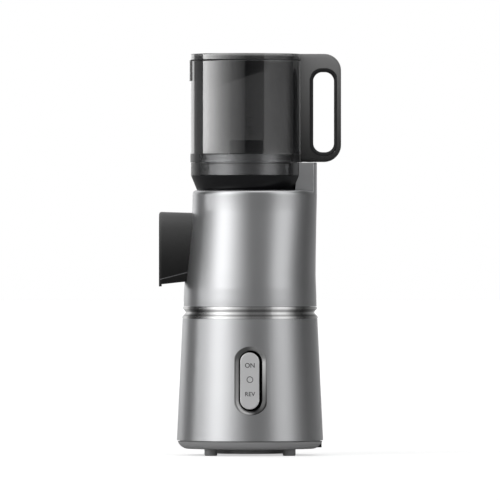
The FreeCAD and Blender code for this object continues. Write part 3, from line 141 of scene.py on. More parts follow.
class MeshMaker:
    """Collects quad sheets as numpy arrays and writes them as one smooth mesh, in millimetres."""

    def __init__(self) -> None:
        """Starts with no sheets."""
        self.points: list[Array] = []
        self.quads: list[Array] = []
        self.slots: list[Array] = []
        self.count = 0

    def sheet(self, grid: Array, wrap_u: bool = False, wrap_v: bool = False, flip: bool = False,
              keep: Optional[Array] = None, slot: int = 0) -> "MeshMaker":
        """Adds a grid of points as quads.

        Args:
            grid: points of shape (u, v, 3).
            wrap_u: joins the last u line to the first.
            wrap_v: joins the last v line to the first.
            flip: turns the faces over.
            keep: optional mask of the cells to make.
            slot: material index of the faces.

        Returns:
            The maker, so that calls can be chained.
        """
        nu, nv = grid.shape[:2]
        u = np.arange(nu if wrap_u else nu - 1)
        v = np.arange(nv if wrap_v else nv - 1)
        uu, vv = np.meshgrid(u, v, indexing="ij")
        un, vn = (uu + 1) % nu, (vv + 1) % nv
        cells = stack(uu * nv + vv, un * nv + vv, un * nv + vn, uu * nv + vn)
        cells = cells[keep] if keep is not None else cells.reshape(-1, 4)
        if flip:
            cells = cells[:, ::-1]
        self.points.append(grid.reshape(-1, 3))
        self.quads.append(cells + self.count)
        self.slots.append(np.full(len(cells), slot))
        self.count += nu * nv
        return self

    def write(self, name: str, weld: float = 1e-4, crease: float = 40.0) -> Piece:
        """Welds coincident points, drops empty faces and makes the object.

        Args:
            name: name of the piece.
            weld: points nearer than this are one.
            crease: angle in degrees above which an edge is sharp.

        Returns:
            The object, in the scene.
        """
        co, quads, slots = (np.concatenate(part) for part in (self.points, self.quads, self.slots))
        _, first, inverse = np.unique(np.round(co / weld).astype(np.int64), axis=0,
                                      return_index=True, return_inverse=True)
        co = co[first]
        quads = inverse.reshape(-1)[quads]
        step = quads != np.roll(quads, 1, axis=1)
        size = step.sum(1)
        good = size >= 3
        quads, slots, step, size = quads[good], slots[good], step[good], size[good]
        loops = quads[step]
        mesh = bpy.data.meshes.new(name)
        mesh.vertices.add(len(co))
        mesh.vertices.foreach_set("co", (co * MM).astype(np.float32).ravel())
        mesh.loops.add(len(loops))
        mesh.loops.foreach_set("vertex_index", loops.astype(np.int32))
        mesh.polygons.add(len(size))
        mesh.polygons.foreach_set("loop_start", np.concatenate([[0], np.cumsum(size)[:-1]]).astype(np.int32))
        mesh.polygons.foreach_set("material_index", slots.astype(np.int32))
        mesh.update(calc_edges=True)
        mesh.validate()
        mesh.polygons.foreach_set("use_smooth", np.ones(len(mesh.polygons), bool))
        mesh.set_sharp_from_angle(angle=math.radians(crease))
        log.info("%s: %d points, %d faces", name, len(co), len(size))
        return into_scene(name, mesh)


def into_scene(name: str, data: bpy.types.ID) -> Piece:
    """Puts a mesh, curve or camera into the scene as an object."""
    obj = bpy.data.objects.new(name, data)
    bpy.context.scene.collection.objects.link(obj)
    return obj


def rounded_path(corners: Sequence[Sequence[float]], closed: bool = True, steps: int = 5,
                 guard: float = 0.25) -> Array:
    """Polyline through 2-D corners (a, b, radius), each turned into an arc with a guard point beside it.

    Args:
        corners: (a, b, radius) rows; radius may be left out for a sharp corner.
        closed: joins the last corner to the first.
        steps: segments in each arc.
        guard: distance of the guard points, which keep flat walls flat under smooth shading.

    Returns:
        Points of the path, (n, 2).
    """
    pts = [(c[0], c[1], c[2] if len(c) > 2 else 0.0) for c in corners]
    out: list[Array] = []
    n = len(pts)
    for i, (a, b, radius) in enumerate(pts):
        here = np.array([a, b])
        if not closed and i in (0, n - 1):
            out.append(here)
            continue
        before = np.array(pts[i - 1][:2]) - here
        after = np.array(pts[(i + 1) % n][:2]) - here
        l0, l1 = np.linalg.norm(before), np.linalg.norm(after)
        d0, d1 = before / l0, after / l1
        half = math.acos(float(np.clip(d0 @ d1, -1, 1))) / 2
        if radius <= 0 or half > math.pi / 2 - 0.02:
            out.append(here)
            continue
        cut = min(radius / math.tan(half), 0.45 * l0, 0.45 * l1)
        r = cut * math.tan(half)
        centre = here + (d0 + d1) / np.linalg.norm(d0 + d1) * r / math.sin(half)
        start, end = here + d0 * cut - centre, here + d1 * cut - centre
        turn = math.atan2(start[0] * end[1] - start[1] * end[0], start @ end)
        space = min(guard, 0.3 * cut + 0.02)
        out.append(here + d0 * min(cut + space, 0.49 * l0))
        for k in range(steps + 1):
            w = turn * k / steps
            out.append(centre + np.array([start[0] * math.cos(w) - start[1] * math.sin(w),
                                          start[0] * math.sin(w) + start[1] * math.cos(w)]))
        out.append(here + d1 * min(cut + space, 0.49 * l1))
    return np.array(out)


def stack(*axes: Union[Array, float]) -> Array:
    """Points from their coordinates, which are spread over each other."""
    return np.stack(np.broadcast_arrays(*axes), -1)


def around(count: int) -> Array:
    """Angles of count even steps round a full turn."""
    return np.linspace(0, 2 * math.pi, count, endpoint=False)


def polar(r: Array, a: Array, z: Array, y: float = 0.0, x: float = 0.0) -> Array:
    """Points (x + r cos a, y + r sin a, z) of radii, angles and heights that are spread over each other."""
    return stack(x + r * np.cos(a), y + r * np.sin(a), z)


def revolve(profile: Array, y: float = 0.0, x: float = 0.0, columns: int = 192) -> Array:
    """Grid of a profile (r, z) turned about a vertical axis.

    Args:
        profile: (n, 2) points of radius and height.
        y: place of the axis.
        x: place of the axis.
        columns: steps of the turn.

    Returns:
        Points of shape (columns, n, 3).
    """
    return polar(profile[:, 0], around(columns)[:, None], profile[:, 1], y, x)


def closed_sheet(name: str, grid: Array) -> Piece:
    """A grid of points closed both ways, as an object."""
    return MeshMaker().sheet(grid, wrap_u=True, wrap_v=True).write(name)


def turned(name: str, profile: Array, y: float = AXIS_Y, columns: int = 192) -> Piece:
    """A closed profile (r, z) turned about the vertical axis at y, as an object."""
    return closed_sheet(name, revolve(profile, y, columns=columns))


def both_sides(rows: list[tuple[Array, float]]) -> Array:
    """Grid of rings from (outline in y and z, distance from the middle plane), carried on as their mirror."""
    full = rows + [(p, -x) for p, x in rows[::-1]]
    return np.stack([stack(x, *p.T) for p, x in full])


def vertex_points(mesh: bpy.types.Mesh) -> Array:
    """Vertex positions of a mesh, (n, 3)."""
    co = np.zeros(len(mesh.vertices) * 3)
    mesh.vertices.foreach_get("co", co)
    return co.reshape(-1, 3)


def bearing(points: Array, centre: Sequence[float] = (0.0, 0.0)) -> Array:
    """Angles of points about a centre, in radians."""
    return np.arctan2(points[:, 1] - centre[1], points[:, 0] - centre[0])


def loop_normals(loop: Array) -> Array:
    """Unit normals of a closed 2-D loop, to the right of its direction."""
    d = np.roll(loop, -1, 0) - np.roll(loop, 1, 0)
    n = stack(d[:, 1], -d[:, 0])
    return n / np.linalg.norm(n, axis=1, keepdims=True)


def resample(loop: Array, count: int, start: float = 0.0) -> Array:
    """Closed loop as points equally spaced along it.

    Args:
        loop: (n, 2) points.
        count: number of new points.
        start: angle about the loop's middle where they begin.

    Returns:
        Points of shape (count, 2).
    """
    centre = (loop.min(0) + loop.max(0)) / 2
    off = np.angle(np.exp(1j * (bearing(loop, centre) - start)))
    loop = np.roll(loop, -int(np.argmin(np.abs(off))), 0)
    ring = np.vstack([loop, loop[:1]])
    s = np.concatenate([[0], np.cumsum(np.linalg.norm(np.diff(ring, axis=0), axis=1))])
    t = np.linspace(0, s[-1], count, endpoint=False)
    return stack(np.interp(t, s, ring[:, 0]), np.interp(t, s, ring[:, 1]))


def at_angles(loop: Array, centre: Sequence[float], angles: Array) -> Array:
    """Points of a closed convex loop at polar angles about a centre inside it.

    Args:
        loop: (n, 2) points.
        centre: the point inside.
        angles: the angles, in radians.

    Returns:
        One point for each angle.
    """
    dense = resample(loop, 4000)
    turn = bearing(dense, centre)
    order = np.argsort(turn)
    turn = np.concatenate([turn[order] - 2 * math.pi, turn[order], turn[order] + 2 * math.pi])
    points = np.tile(dense[order], (3, 1))
    return stack(np.interp(angles, turn, points[:, 0]), np.interp(angles, turn, points[:, 1]))


def pillow(loop: Array, heights: Sequence[Sequence[float]], lift: Callable[[Array], Array]) -> Array:
    """Rings of a convex loop for a rounded slab, one for each (inset, height).

    Args:
        loop: closed 2-D loop, (n, 2).
        heights: inset along the loop's normal and height of each ring.
        lift: maps (n, 3) points of plan and height to space.

    Returns:
        Points of shape (rings, n, 3).
    """
    normals = loop_normals(loop)
    return np.stack([lift(stack(*(loop - normals * inset).T, h)) for inset, h in heights])


def operator(op: str, flip: bool = False) -> Callable[["Value", Operand], "Value"]:
    """Operator method that writes a maths node.

    Args:
        op: the node's operation.
        flip: puts the other operand first.

    Returns:
        The method.
    """
    def apply(self: "Value", other: Operand) -> "Value":
        """Joins two operands by one node."""
        args = (other, self) if flip else (self, other)
        return self.recipe.node("ShaderNodeMath", {"operation": op}, dict(enumerate(args)))
    return apply


class Value:
    """A shader socket with arithmetic (+, -, *, **), a ramp and a link."""

    def __init__(self, recipe: "Recipe", socket: bpy.types.NodeSocket) -> None:
        """Wraps a socket of the recipe's tree."""
        self.recipe, self.socket = recipe, socket

    __add__ = __radd__ = operator("ADD")
    __sub__, __rsub__ = operator("SUBTRACT"), operator("SUBTRACT", flip=True)
    __mul__ = __rmul__ = operator("MULTIPLY")
    __pow__, __rpow__ = operator("POWER"), operator("POWER", flip=True)

    def ramp(self, low: float, high: float, kind: str = "SMOOTHSTEP") -> "Value":
        """Share of the way from low to high, held to 0..1; kind is how it eases."""
        settings = {"interpolation_type": kind}
        return self.recipe.node("ShaderNodeMapRange", settings, {0: self, 1: low, 2: high})

    def into(self, node: Node, name: str) -> None:
        """Links the value to an input of a node."""
        self.recipe.tree.links.new(self.socket, node.inputs[name])


class Recipe:
    """One node tree being written."""

    def __init__(self, tree: bpy.types.NodeTree) -> None:
        """Takes the tree to write."""
        self.tree = tree

    def node(self, kind: str, settings: Optional[dict] = None, inputs: Optional[dict] = None,
             output: Union[int, str] = 0) -> Value:
        """Adds a node.

        Args:
            kind: the node's type.
            settings: its properties, which are set first.
            inputs: values or links of its sockets.
            output: name or index of the output wanted.

        Returns:
            That output.
        """
        made = self.tree.nodes.new(kind)
        for key, value in (settings or {}).items():
            setattr(made, key, value)
        for key, value in (inputs or {}).items():
            if isinstance(value, Value):
                self.tree.links.new(value.socket, made.inputs[key])
            else:
                made.inputs[key].default_value = value
        return Value(self, made.outputs[output])

    def place(self, axis: str) -> Value:
        """One axis of the Object coordinates, in millimetres."""
        coords = self.node("ShaderNodeTexCoord", output="Object")
        split = self.node("ShaderNodeSeparateXYZ", inputs={0: coords}, output=axis)
        return split * 1000.0

    def ray(self, kind: str) -> Value:
        """1 for rays of a kind, such as Camera or Glossy, and 0 for the rest."""
        return self.node("ShaderNodeLightPath", output=f"Is {kind} Ray")

    def noise(self, scale: float, detail: float = 2.0, stretch: Sequence[float] = (1, 1, 1)) -> Value:
        """Noise over the Object coordinates.

        Args:
            scale: features per metre.
            detail: octaves.
            stretch: factors of the three axes.

        Returns:
            The noise, 0 to 1.
        """
        coords = self.node("ShaderNodeTexCoord", output="Object")
        mapped = self.node("ShaderNodeVectorMath", {"operation": "MULTIPLY"}, {0: coords, 1: tuple(stretch)})
        return self.node("ShaderNodeTexNoise", None, {"Vector": mapped, "Scale": scale, "Detail": detail})


@dataclass(frozen=True)
class Finish:
    """Look of one material: colour, gloss and grain, with an optional extra that adds its own nodes."""

    name: str
    color: tuple[float, float, float]
    roughness: float = 0.4
    metallic: float = 0.0
    coat: float = 0.0
    coat_roughness: float = 0.05
    alpha: float = 1.0
    specular: float = 0.5
    ior: float = 1.5
    grain: float = 0.0
    grain_scale: float = 2500.0
    mottle: float = 0.03
    extra: Optional[Callable[[Recipe, Node], None]] = field(default=None, compare=False)

    def build(self) -> bpy.types.Material:
        """Makes the node material, or finds it, with slightly uneven gloss and a fine surface grain.

        Returns:
            The material.
        """
        found = bpy.data.materials.get(self.name)
        if found:
            return found
        mat = bpy.data.materials.new(self.name)
        mat.use_nodes = True
        recipe = Recipe(mat.node_tree)
        shader = mat.node_tree.nodes["Principled BSDF"]
        fixed = {"Base Color": (*self.color, 1.0), "Metallic": self.metallic, "Coat Weight": self.coat,
                 "Coat Roughness": self.coat_roughness, "Specular IOR Level": self.specular,
                 "Alpha": self.alpha, "IOR": self.ior, "Coat IOR": self.ior}
        for key, value in fixed.items():
            shader.inputs[key].default_value = value
        wear = recipe.noise(38.0, 3.0)
        rough = (wear - 0.5) * self.mottle + self.roughness
        rough.into(shader, "Roughness")
        if self.grain > 0:
            bump = recipe.node("ShaderNodeBump", None, {
                "Strength": self.grain, "Distance": 0.0001, "Height": recipe.noise(self.grain_scale, 1.0)})
            bump.into(shader, "Normal")
        if self.extra:
            self.extra(recipe, shader)
        return mat


def tint_bands(recipe: Recipe, shader: Node) -> None:
    """Vertical streaks in the tinted walls, deeper tint at their edges, a satin band at the drum's foot.

    Args:
        recipe: the material's tree.
        shader: its Principled BSDF.
    """
    z = recipe.place("Z")
    foot = z.ramp(301.6, 300.9)
    streak = recipe.noise(900.0, 1.0, (1, 1, 0.01))
    rough = (streak - 0.5) * 0.05 + 0.045 + foot * 0.3
    rough.into(shader, "Roughness")
    coat = 1.0 - foot
    coat.into(shader, "Coat Weight")
    edge = recipe.node("ShaderNodeLayerWeight", None, {"Blend": 0.5}, "Facing").ramp(0.36, 0.52)
    alpha = 0.62 - foot * 0.36 + (streak - 0.5) * 0.06 + edge * (foot * 0.4 + 0.16)
    alpha.into(shader, "Alpha")


def radial_normal_and_groove_shade(recipe: Recipe, shader: Node) -> None:
    """Turns the ring's shading normal to its radius and paints the shade of its groove as darker lines by height.

    Args:
        recipe: the material's tree.
        shader: its Principled BSDF.
    """
    coords = recipe.node("ShaderNodeTexCoord", output="Object")
    radial = recipe.node("ShaderNodeVectorMath", {"operation": "MULTIPLY"}, {0: coords, 1: (1.0, 1.0, 0.0)})
    normal = recipe.node("ShaderNodeVectorMath", {"operation": "NORMALIZE"}, {0: radial})
    normal.into(shader, "Normal")
    z = recipe.place("Z")
    # painted shade: two bands of the groove darkened in the base colour
    upper = z.ramp(142.6, 143.6) * z.ramp(146.4, 145.4)
    lower = z.ramp(141.2, 140.3) * z.ramp(138.4, 139.2)
    tone = 0.66 - upper * 0.36 - lower * 0.30
    tone.into(shader, "Base Color")


def scoop_shade(recipe: Recipe, shader: Node) -> None:
    """Painted light and shade on the scoop: pale above and dark below on its right wall, the other way round on its
    left.

    Args:
        recipe: the material's tree.
        shader: its Principled BSDF.
    """
    z, y = recipe.place("Z"), recipe.place("Y")
    share = z.ramp(42.0, 108.0, "LINEAR")
    # painted light and shade: each wall's tone set by its height and its side
    right = share ** 1.4 * 0.56 + 0.05
    left = 0.48 - share * 0.26
    tone = left + (right - left) * y.ramp(-4.0, 6.0)
    tone.into(shader, "Base Color")


def painted_light_from_above(top: float, bottom: float, pale: float, dark: float,
                  bend: float) -> Callable[[Recipe, Node], None]:
    """Painted light from above: grey painted paler at the top and darker below, dark + (pale - dark) * share ** bend.

    Args:
        top: height of the pale tone, share 1.
        bottom: height of the dark tone, share 0.
        pale: tone at the top.
        dark: tone at the bottom.
        bend: power of the share.

    Returns:
        The extra of a Finish.
    """
    def apply(recipe: Recipe, shader: Node) -> None:
        """Writes the tone's nodes."""
        # painted light: share of the height from the bottom to the top
        share = recipe.place("Z").ramp(bottom, top, "LINEAR")
        tone = share ** bend * (pale - dark) + dark
        tone.into(shader, "Base Color")
    return apply


class Look(Enum):
    """Finishes of the juicer."""

    SILVER = Finish("silver_paint_look", (0.60, 0.605, 0.615), 0.30, 0.95, grain=0.04)
    # silver painted darker as the shade inside the switch recess
    SCOOP_SHADE = Finish("scoop_painted_shade_look", (0.40, 0.40, 0.41), 0.34, 0.95, extra=scoop_shade)
    PADDLE = Finish("paddle_look", (0.76, 0.76, 0.765), 0.36, 0.3, grain=0.03)
    CHROME = Finish("chrome_look", (0.66, 0.66, 0.67), 0.10, 1.0, mottle=0.02, extra=radial_normal_and_groove_shade)
    COVER = Finish("cover_look", (0.36, 0.36, 0.365), 0.42, grain=0.15)
    FOOT_SLEEVE = Finish("foot_sleeve_look", (0.24, 0.24, 0.242), 0.5)
    BLACK = Finish("black_look", (0.012, 0.012, 0.013), 0.42, grain=0.1)
    # near-black painted shadow for the switch well's walls and the paddle's sides
    SHADOW = Finish("painted_shadow_black_look", (0.004, 0.004, 0.004), 0.7, specular=0.1)
    GLOSS = Finish("gloss_black_look", (0.008, 0.008, 0.009), 0.28, specular=0.3)
    TINT = Finish("smoke_look", (0.008, 0.0085, 0.0095), 0.05, coat=1.0, coat_roughness=0.03, alpha=0.62,
                  specular=0.8, ior=1.75, extra=tint_bands)
    BAND = Finish("band_look", (0.50, 0.505, 0.515), 0.24, 0.95)
    # handle and hood: base colour painted paler at the top and darker below, as light from above
    HANDLE = Finish("handle_look", (0.030, 0.0305, 0.032), 0.5, specular=0.3, grain=0.2, grain_scale=1800.0,
                    extra=painted_light_from_above(401.0, 290.0, 0.25, 0.026, 1.2))
    TRIM = Finish("trim_look", (0.008, 0.008, 0.009), 0.5)
    HOOD = Finish("hood_look", (0.028, 0.0285, 0.030), 0.45, specular=0.3, grain=0.2, grain_scale=1800.0,
                  extra=painted_light_from_above(244.0, 166.0, 0.145, 0.006, 2.6))
    SPOUT = Finish("spout_look", (0.030, 0.030, 0.032), 0.3)
    SILICONE = Finish("silicone_look", (0.12, 0.12, 0.125), 0.55)
    STEEL = Finish("steel_look", (0.55, 0.55, 0.55), 0.28, 1.0)
    ALLOY = Finish("alloy_look", (0.50, 0.50, 0.51), 0.42, 1.0, grain=0.3, grain_scale=900.0)
    COPPER = Finish("copper_look", (0.65, 0.32, 0.19), 0.28, 1.0)
    INK = Finish("legend_look", (0.05, 0.05, 0.052), 0.5)


def finish(obj: Piece, body: str, slot: str, looks: Sequence[Look], *replaces: str) -> None:
    """Gives a piece its materials, its CAD body, its slot and the nodes that it stands for.

    Args:
        obj: the piece.
        body: CAD body that it rides on.
        slot: its material slot.
        looks: finishes by material index.
        replaces: names of the nodes, if any.
    """
    for look in looks:
        obj.data.materials.append(look.value.build())
    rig.ride(obj, body)
    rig.slot(obj, slot)
    if replaces:
        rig.replaces(obj, *replaces)


@dataclass
class Base:
    """Tapered base with its scooped switch recess, chrome ring, feet, paddle and legends."""

    bottom: float = 15.0
    top: float = 136.5
    bottom_radius: float = 73.1
    top_radius: float = 67.4
    wall: float = 2.4
    switch_y: float = 0.8
    switch_z: float = 75.0
    well_half_width: float = 11.25
    well_half_length: float = 29.6
    well_depth: float = 12.0
    recess_depth: float = 3.4
    side_slope: float = 2.44
    end_slope: float = 1.1
    patch_half: tuple[float, float] = (20.0, 39.0)
    patch_radius: float = 70.0
    niche_radius: float = 55.5
    ring_bore: float = 60.2
    foot_offset: float = 39.0
    foot_radius: float = 6.4
    foot_top: float = 6.45
    paddle_half_width: float = 9.5
    paddle_half_length: float = 28.3
    paddle_shift: float = -1.15
    paddle_face: float = -0.9
    paddle_back: float = -4.19
    dish_depth: float = 0.8
    legend_shift: float = -0.9
    legend_proud: float = 0.04

    @property
    def tilt(self) -> float:
        """Lean of the wall from the vertical, in radians."""
        return math.atan((self.bottom_radius - self.top_radius) / (self.top - self.bottom))

    def radius(self, z: Array) -> Array:
        """Outer radius at height z: a straight taper."""
        t = (z - self.bottom) / (self.top - self.bottom)
        return self.bottom_radius + (self.top_radius - self.bottom_radius) * t

    def to_world(self, local: Array) -> Array:
        """Rocker coordinates (out, along Y, up the wall), tilted by the wall's lean, to the object's frame.

        Args:
            local: points of shape (..., 3).

        Returns:
            Points of the same shape.
        """
        c, s = math.cos(self.tilt), math.sin(self.tilt)
        out, up = local[..., 0], local[..., 2]
        return stack(self.radius(self.switch_z) + out * c - up * s, self.switch_y + local[..., 1],
                     self.switch_z + out * s + up * c)

    def on_wall(self, y: Array, up: Array) -> Array:
        """Points of the wall above rocker coordinates (y, up), found by a few Newton steps.

        Args:
            y: across the wall.
            up: along the wall.

        Returns:
            Rocker coordinates, (n, 3).
        """
        out = np.zeros_like(y)
        for _ in range(6):
            p = self.to_world(stack(out, y, up))
            out = out - (np.hypot(p[..., 0], p[..., 1]) - self.radius(p[..., 2]))
        return stack(out, y, up)

    def stadium_hit(self, angle: Array) -> tuple[Array, Array]:
        """Where rays from the centre leave the well's stadium: on a straight side, or on an end's circle.

        Args:
            angle: angles of the rays.

        Returns:
            The points and the stadium's normals there, (n, 2) each.
        """
        w = self.well_half_width
        h = self.well_half_length - w
        c, s = np.cos(angle), np.sin(angle)
        side = w / np.maximum(np.abs(c), 1e-9)
        on_side = side * np.abs(s) <= h
        end = h * np.abs(s) + np.sqrt(np.maximum(w * w - (h * c) ** 2, 0))
        r = np.where(on_side, side, end)
        p = stack(r * c, r * s)
        n = stack(p[:, 0], p[:, 1] - np.clip(p[:, 1], -h, h))
        return p, n / np.linalg.norm(n, axis=1, keepdims=True)

    def shell(self) -> None:
        """Skin of revolution, open at the switch, with an inner wall that steps in behind the opening."""
        last = 60
        near = np.linspace(-1, 1, last + 1) * math.asin(self.patch_half[0] / self.patch_radius)
        far = np.linspace(near[-1], near[0] + 2 * math.pi, 150)[1:-1]
        angles = np.concatenate([near, far])
        low, high = self.switch_z - self.patch_half[1], self.switch_z + self.patch_half[1]
        z0, z1, bore, wall = self.bottom, self.top, self.ring_bore, self.wall
        heights = np.concatenate([[z0, z0 + 0.2, z0 + 1.0], np.linspace(z0 + 3, low, 8)[:-1],
                                  np.linspace(low, high, 101), np.linspace(high, z1 - 1.5, 7)[1:],
                                  [z1 - 0.6, z1 - 0.3]])
        outer = stack(self.radius(heights), heights)
        inside = np.array([high + 0.5, high, low, low - 0.5])
        inner = np.vstack([[(self.top_radius - 0.3, z1), (bore, z1), (bore, z1 - wall),
                            (self.top_radius - wall, z1 - wall)],
                           stack(self.radius(inside) - wall, inside), [(self.bottom_radius - wall, z0)]])
        profile = np.vstack([outer, inner])
        grid = polar(profile[:, 0], angles[:, None], profile[:, 1])
        niche = grid[4:last - 3, len(outer) + 5:len(outer) + 7, :2]
        niche *= self.niche_radius / np.linalg.norm(niche, axis=-1, keepdims=True)
        j0, j1 = (int(np.argmin(np.abs(heights - z))) for z in (low, high))
        keep = np.ones((len(angles), len(profile)), bool)
        keep[0:last, j0:j1] = False
        maker = MeshMaker().sheet(grid, wrap_u=True, wrap_v=True, keep=keep)
        self.scoop(maker, np.concatenate([grid[0:last, j0], grid[last, j0:j1], grid[last:0:-1, j1],
                                          grid[0, j1:j0:-1]]))
        finish(maker.write("base_skin"), "base", "silver_paint", [Look.SILVER, Look.SHADOW, Look.SCOOP_SHADE],
               "base_shell", "rocker_frame")

    def scoop(self, maker: MeshMaker, rim: Array) -> None:
        """Fills the patch left open in the skin, from its rim to the floor of the switch well.

        The wall leaves the well's stadium at recess depth and runs out along its normal, side_slope or
        end_slope per unit of rise. Its lip, where that line meets the skin, is found by halving and rounded
        by a quadratic curve.

        Args:
            maker: sheets of the skin.
            rim: points of the patch's edge, in order.
        """
        rel = rim - self.to_world(np.zeros(3))
        flat = stack(rel[:, 1], -rel[:, 0] * math.sin(self.tilt) + rel[:, 2] * math.cos(self.tilt))
        foot, normal = self.stadium_hit(bearing(flat))
        count = len(foot)
        slope = np.array([self.side_slope, self.end_slope]) * normal
        lo, hi = np.zeros(count), np.full(count, 9.0)
        for _ in range(30):
            mid = (lo + hi) / 2
            p = self.to_world(stack(mid - self.recess_depth, *(foot + slope * mid[:, None]).T))
            inside = np.hypot(p[:, 0], p[:, 1]) < self.radius(p[:, 2])
            lo, hi = np.where(inside, mid, lo), np.where(inside, hi, mid)
        edge = foot + slope * lo[:, None]
        rows = [rim]
        for t in (0.25, 0.5, 0.7, 0.85):
            rows.append(self.to_world(self.on_wall(*(flat * (1 - t) + edge * t).T)))
        maker.sheet(np.stack(rows), wrap_v=True)
        before = self.on_wall(*(flat * 0.1 + edge * 0.9).T)
        lip = self.on_wall(*edge.T)
        bottom = stack(-self.recess_depth, *foot.T)
        after = lip * 0.72 + bottom * 0.28
        scoop = rows[-1:]
        for t in np.linspace(0, 1, 7):
            scoop.append(self.to_world((1 - t) ** 2 * before + 2 * t * (1 - t) * lip + t * t * after))
        for t in (0.35, 0.7, 0.93):
            scoop.append(self.to_world(after * (1 - t) + bottom * t))
        grow = stack(0.0, *normal.T)
        # the scoop takes the silver painted with the recess's shade
        maker.sheet(np.stack(scoop), wrap_v=True, slot=2)
        # the well's walls are painted near-black as the shadow inside the well
        wall = scoop[-1:]
        deep = self.well_depth - self.recess_depth
        for inset, drop in ((0.15, 0.02), (0.0, 0.12), (-0.1, 0.35), (-0.1, 0.6), (-0.1, 4.0), (-0.1, deep)):
            wall.append(self.to_world(bottom + grow * inset - np.array([drop, 0, 0])))
        wall.append(self.to_world(stack(-self.well_depth, 0.0, np.clip(foot[:, 1], -18, 18))))
        maker.sheet(np.stack(wall), wrap_v=True, slot=1)

    def ring(self) -> None:
        """Chrome ring: two rounded lips with a groove between them."""
        z, bore = self.top, self.ring_bore
        profile = rounded_path([(bore, z), (67.0, z, 0.2), (67.9, z + 0.5, 0.5), (67.9, z + 1.9, 0.5),
                                (63.8, z + 6.2, 1.6), (67.1, z + 9.8, 0.6), (67.1, z + 11.2, 0.5),
                                (66.3, z + 12.0, 0.4), (bore, z + 12.0)], steps=6)
        finish(turned("trim_band", profile, 0.0, 240), "base", "chrome_trim", [Look.CHROME], "trim_ring")

    def feet(self) -> None:
        """Four round feet with a chamfered sole."""
        maker = MeshMaker()
        r, high = self.foot_radius, self.foot_top
        profile = rounded_path([(0.01, 0), (r - 0.8, 0, 0.4), (r, 0.9, 0.4), (r, 1.9), (r, high),
                                (0.01, high)], closed=False, steps=3)
        for x in (-self.foot_offset, self.foot_offset):
            for y in (-self.foot_offset, self.foot_offset):
                maker.sheet(revolve(profile, y, x, 40), wrap_u=True)
        finish(maker.write("feet"), "base", "feet_rubber", [Look.FOOT_SLEEVE], "rubber_feet")

    def dish(self, up: Array) -> Array:
        """Depth of the paddle's dish at a place along it: depth times one less the square of its share."""
        share = np.clip(np.abs(up) / self.paddle_half_length, 0, 1)
        return self.dish_depth * (1 - share ** 2)

    def on_paddle(self, across: Array, up: Array) -> Array:
        """Points just proud of the paddle's dished face."""
        out = self.paddle_face + self.legend_proud - self.dish(up)
        return self.to_world(stack(out, across + self.legend_shift, up))

    def paddle(self) -> None:
        """Stadium paddle with a rounded rim, a dished face and sides painted near-black as shadow."""
        w, l, face, back = self.paddle_half_width, self.paddle_half_length, self.paddle_face, self.paddle_back
        a = around(160)
        loop = resample(stack(w * np.cos(a), w * np.sin(a) + np.sign(np.sin(a)) * (l - w)), 160)
        heights = [(4.0, back), (0.6, back), (0.05, -4.0), (0.0, -3.6), (0.0, -1.9), (0.06, -1.55),
                   (0.25, -1.22), (0.55, -1.0), (0.9, -0.92), (1.4, face), (3.0, face), (5.0, face),
                   (7.0, face), (8.5, face)]

        def lift(p: Array) -> Array:
            """Sinks the face by its dish and brings the points to the object's frame."""
            sunk = self.dish(p[:, 1]) * (p[:, 2] > -1.3)
            return self.to_world(stack(p[:, 2] - sunk, p[:, 0] + self.paddle_shift, p[:, 1]))

        rows = pillow(loop, heights, lift)
        spine = np.clip(loop[:, 1], w - l, l - w)
        under, over = (lift(stack(0.0, spine, h)) for h in (back, face))
        # the paddle's sides are painted near-black as the shadow in the gap around it
        maker = MeshMaker().sheet(np.concatenate([under[None], rows[:5]]), wrap_v=True, slot=1)
        obj = maker.sheet(np.concatenate([rows[4:], over[None]]), wrap_v=True).write("paddle_face")
        finish(obj, "rocker", "paddle_silver", [Look.PADDLE, Look.SHADOW], "rocker_paddle")

    def legends(self) -> None:
        """Small generic switch words and a ring on the paddle."""
        for name, text, up, size in (("legend_on", "ON", 15.2, 6.4), ("legend_rev", "REV", -13.3, 6.0)):
            curve = bpy.data.curves.new(name, "FONT")
            curve.body, curve.size, curve.align_x, curve.align_y = text, size, "CENTER", "CENTER"
            curve.offset = 0.07
            source = into_scene(name + "_src", curve)
            graph = bpy.context.evaluated_depsgraph_get()
            mesh = bpy.data.meshes.new_from_object(source.evaluated_get(graph))
            bpy.data.objects.remove(source)
            co = vertex_points(mesh)
            world = self.on_paddle(co[:, 0], co[:, 1] + up)
            mesh.vertices.foreach_set("co", (world * MM).astype(np.float32).ravel())
            finish(into_scene(name, mesh), "rocker", "paddle_silver", [Look.INK])
        a = around(40)
        rows = [self.on_paddle(r * np.cos(a), r * np.sin(a) + 1.3) for r in (2.55, 3.25)]
        obj = MeshMaker().sheet(np.stack(rows), wrap_v=True, flip=True).write("legend_off")
        finish(obj, "rocker", "paddle_silver", [Look.INK])

    def build(self) -> None:
        """Makes every piece of the base."""
        for make in (self.shell, self.ring, self.feet, self.paddle, self.legends):
            make()


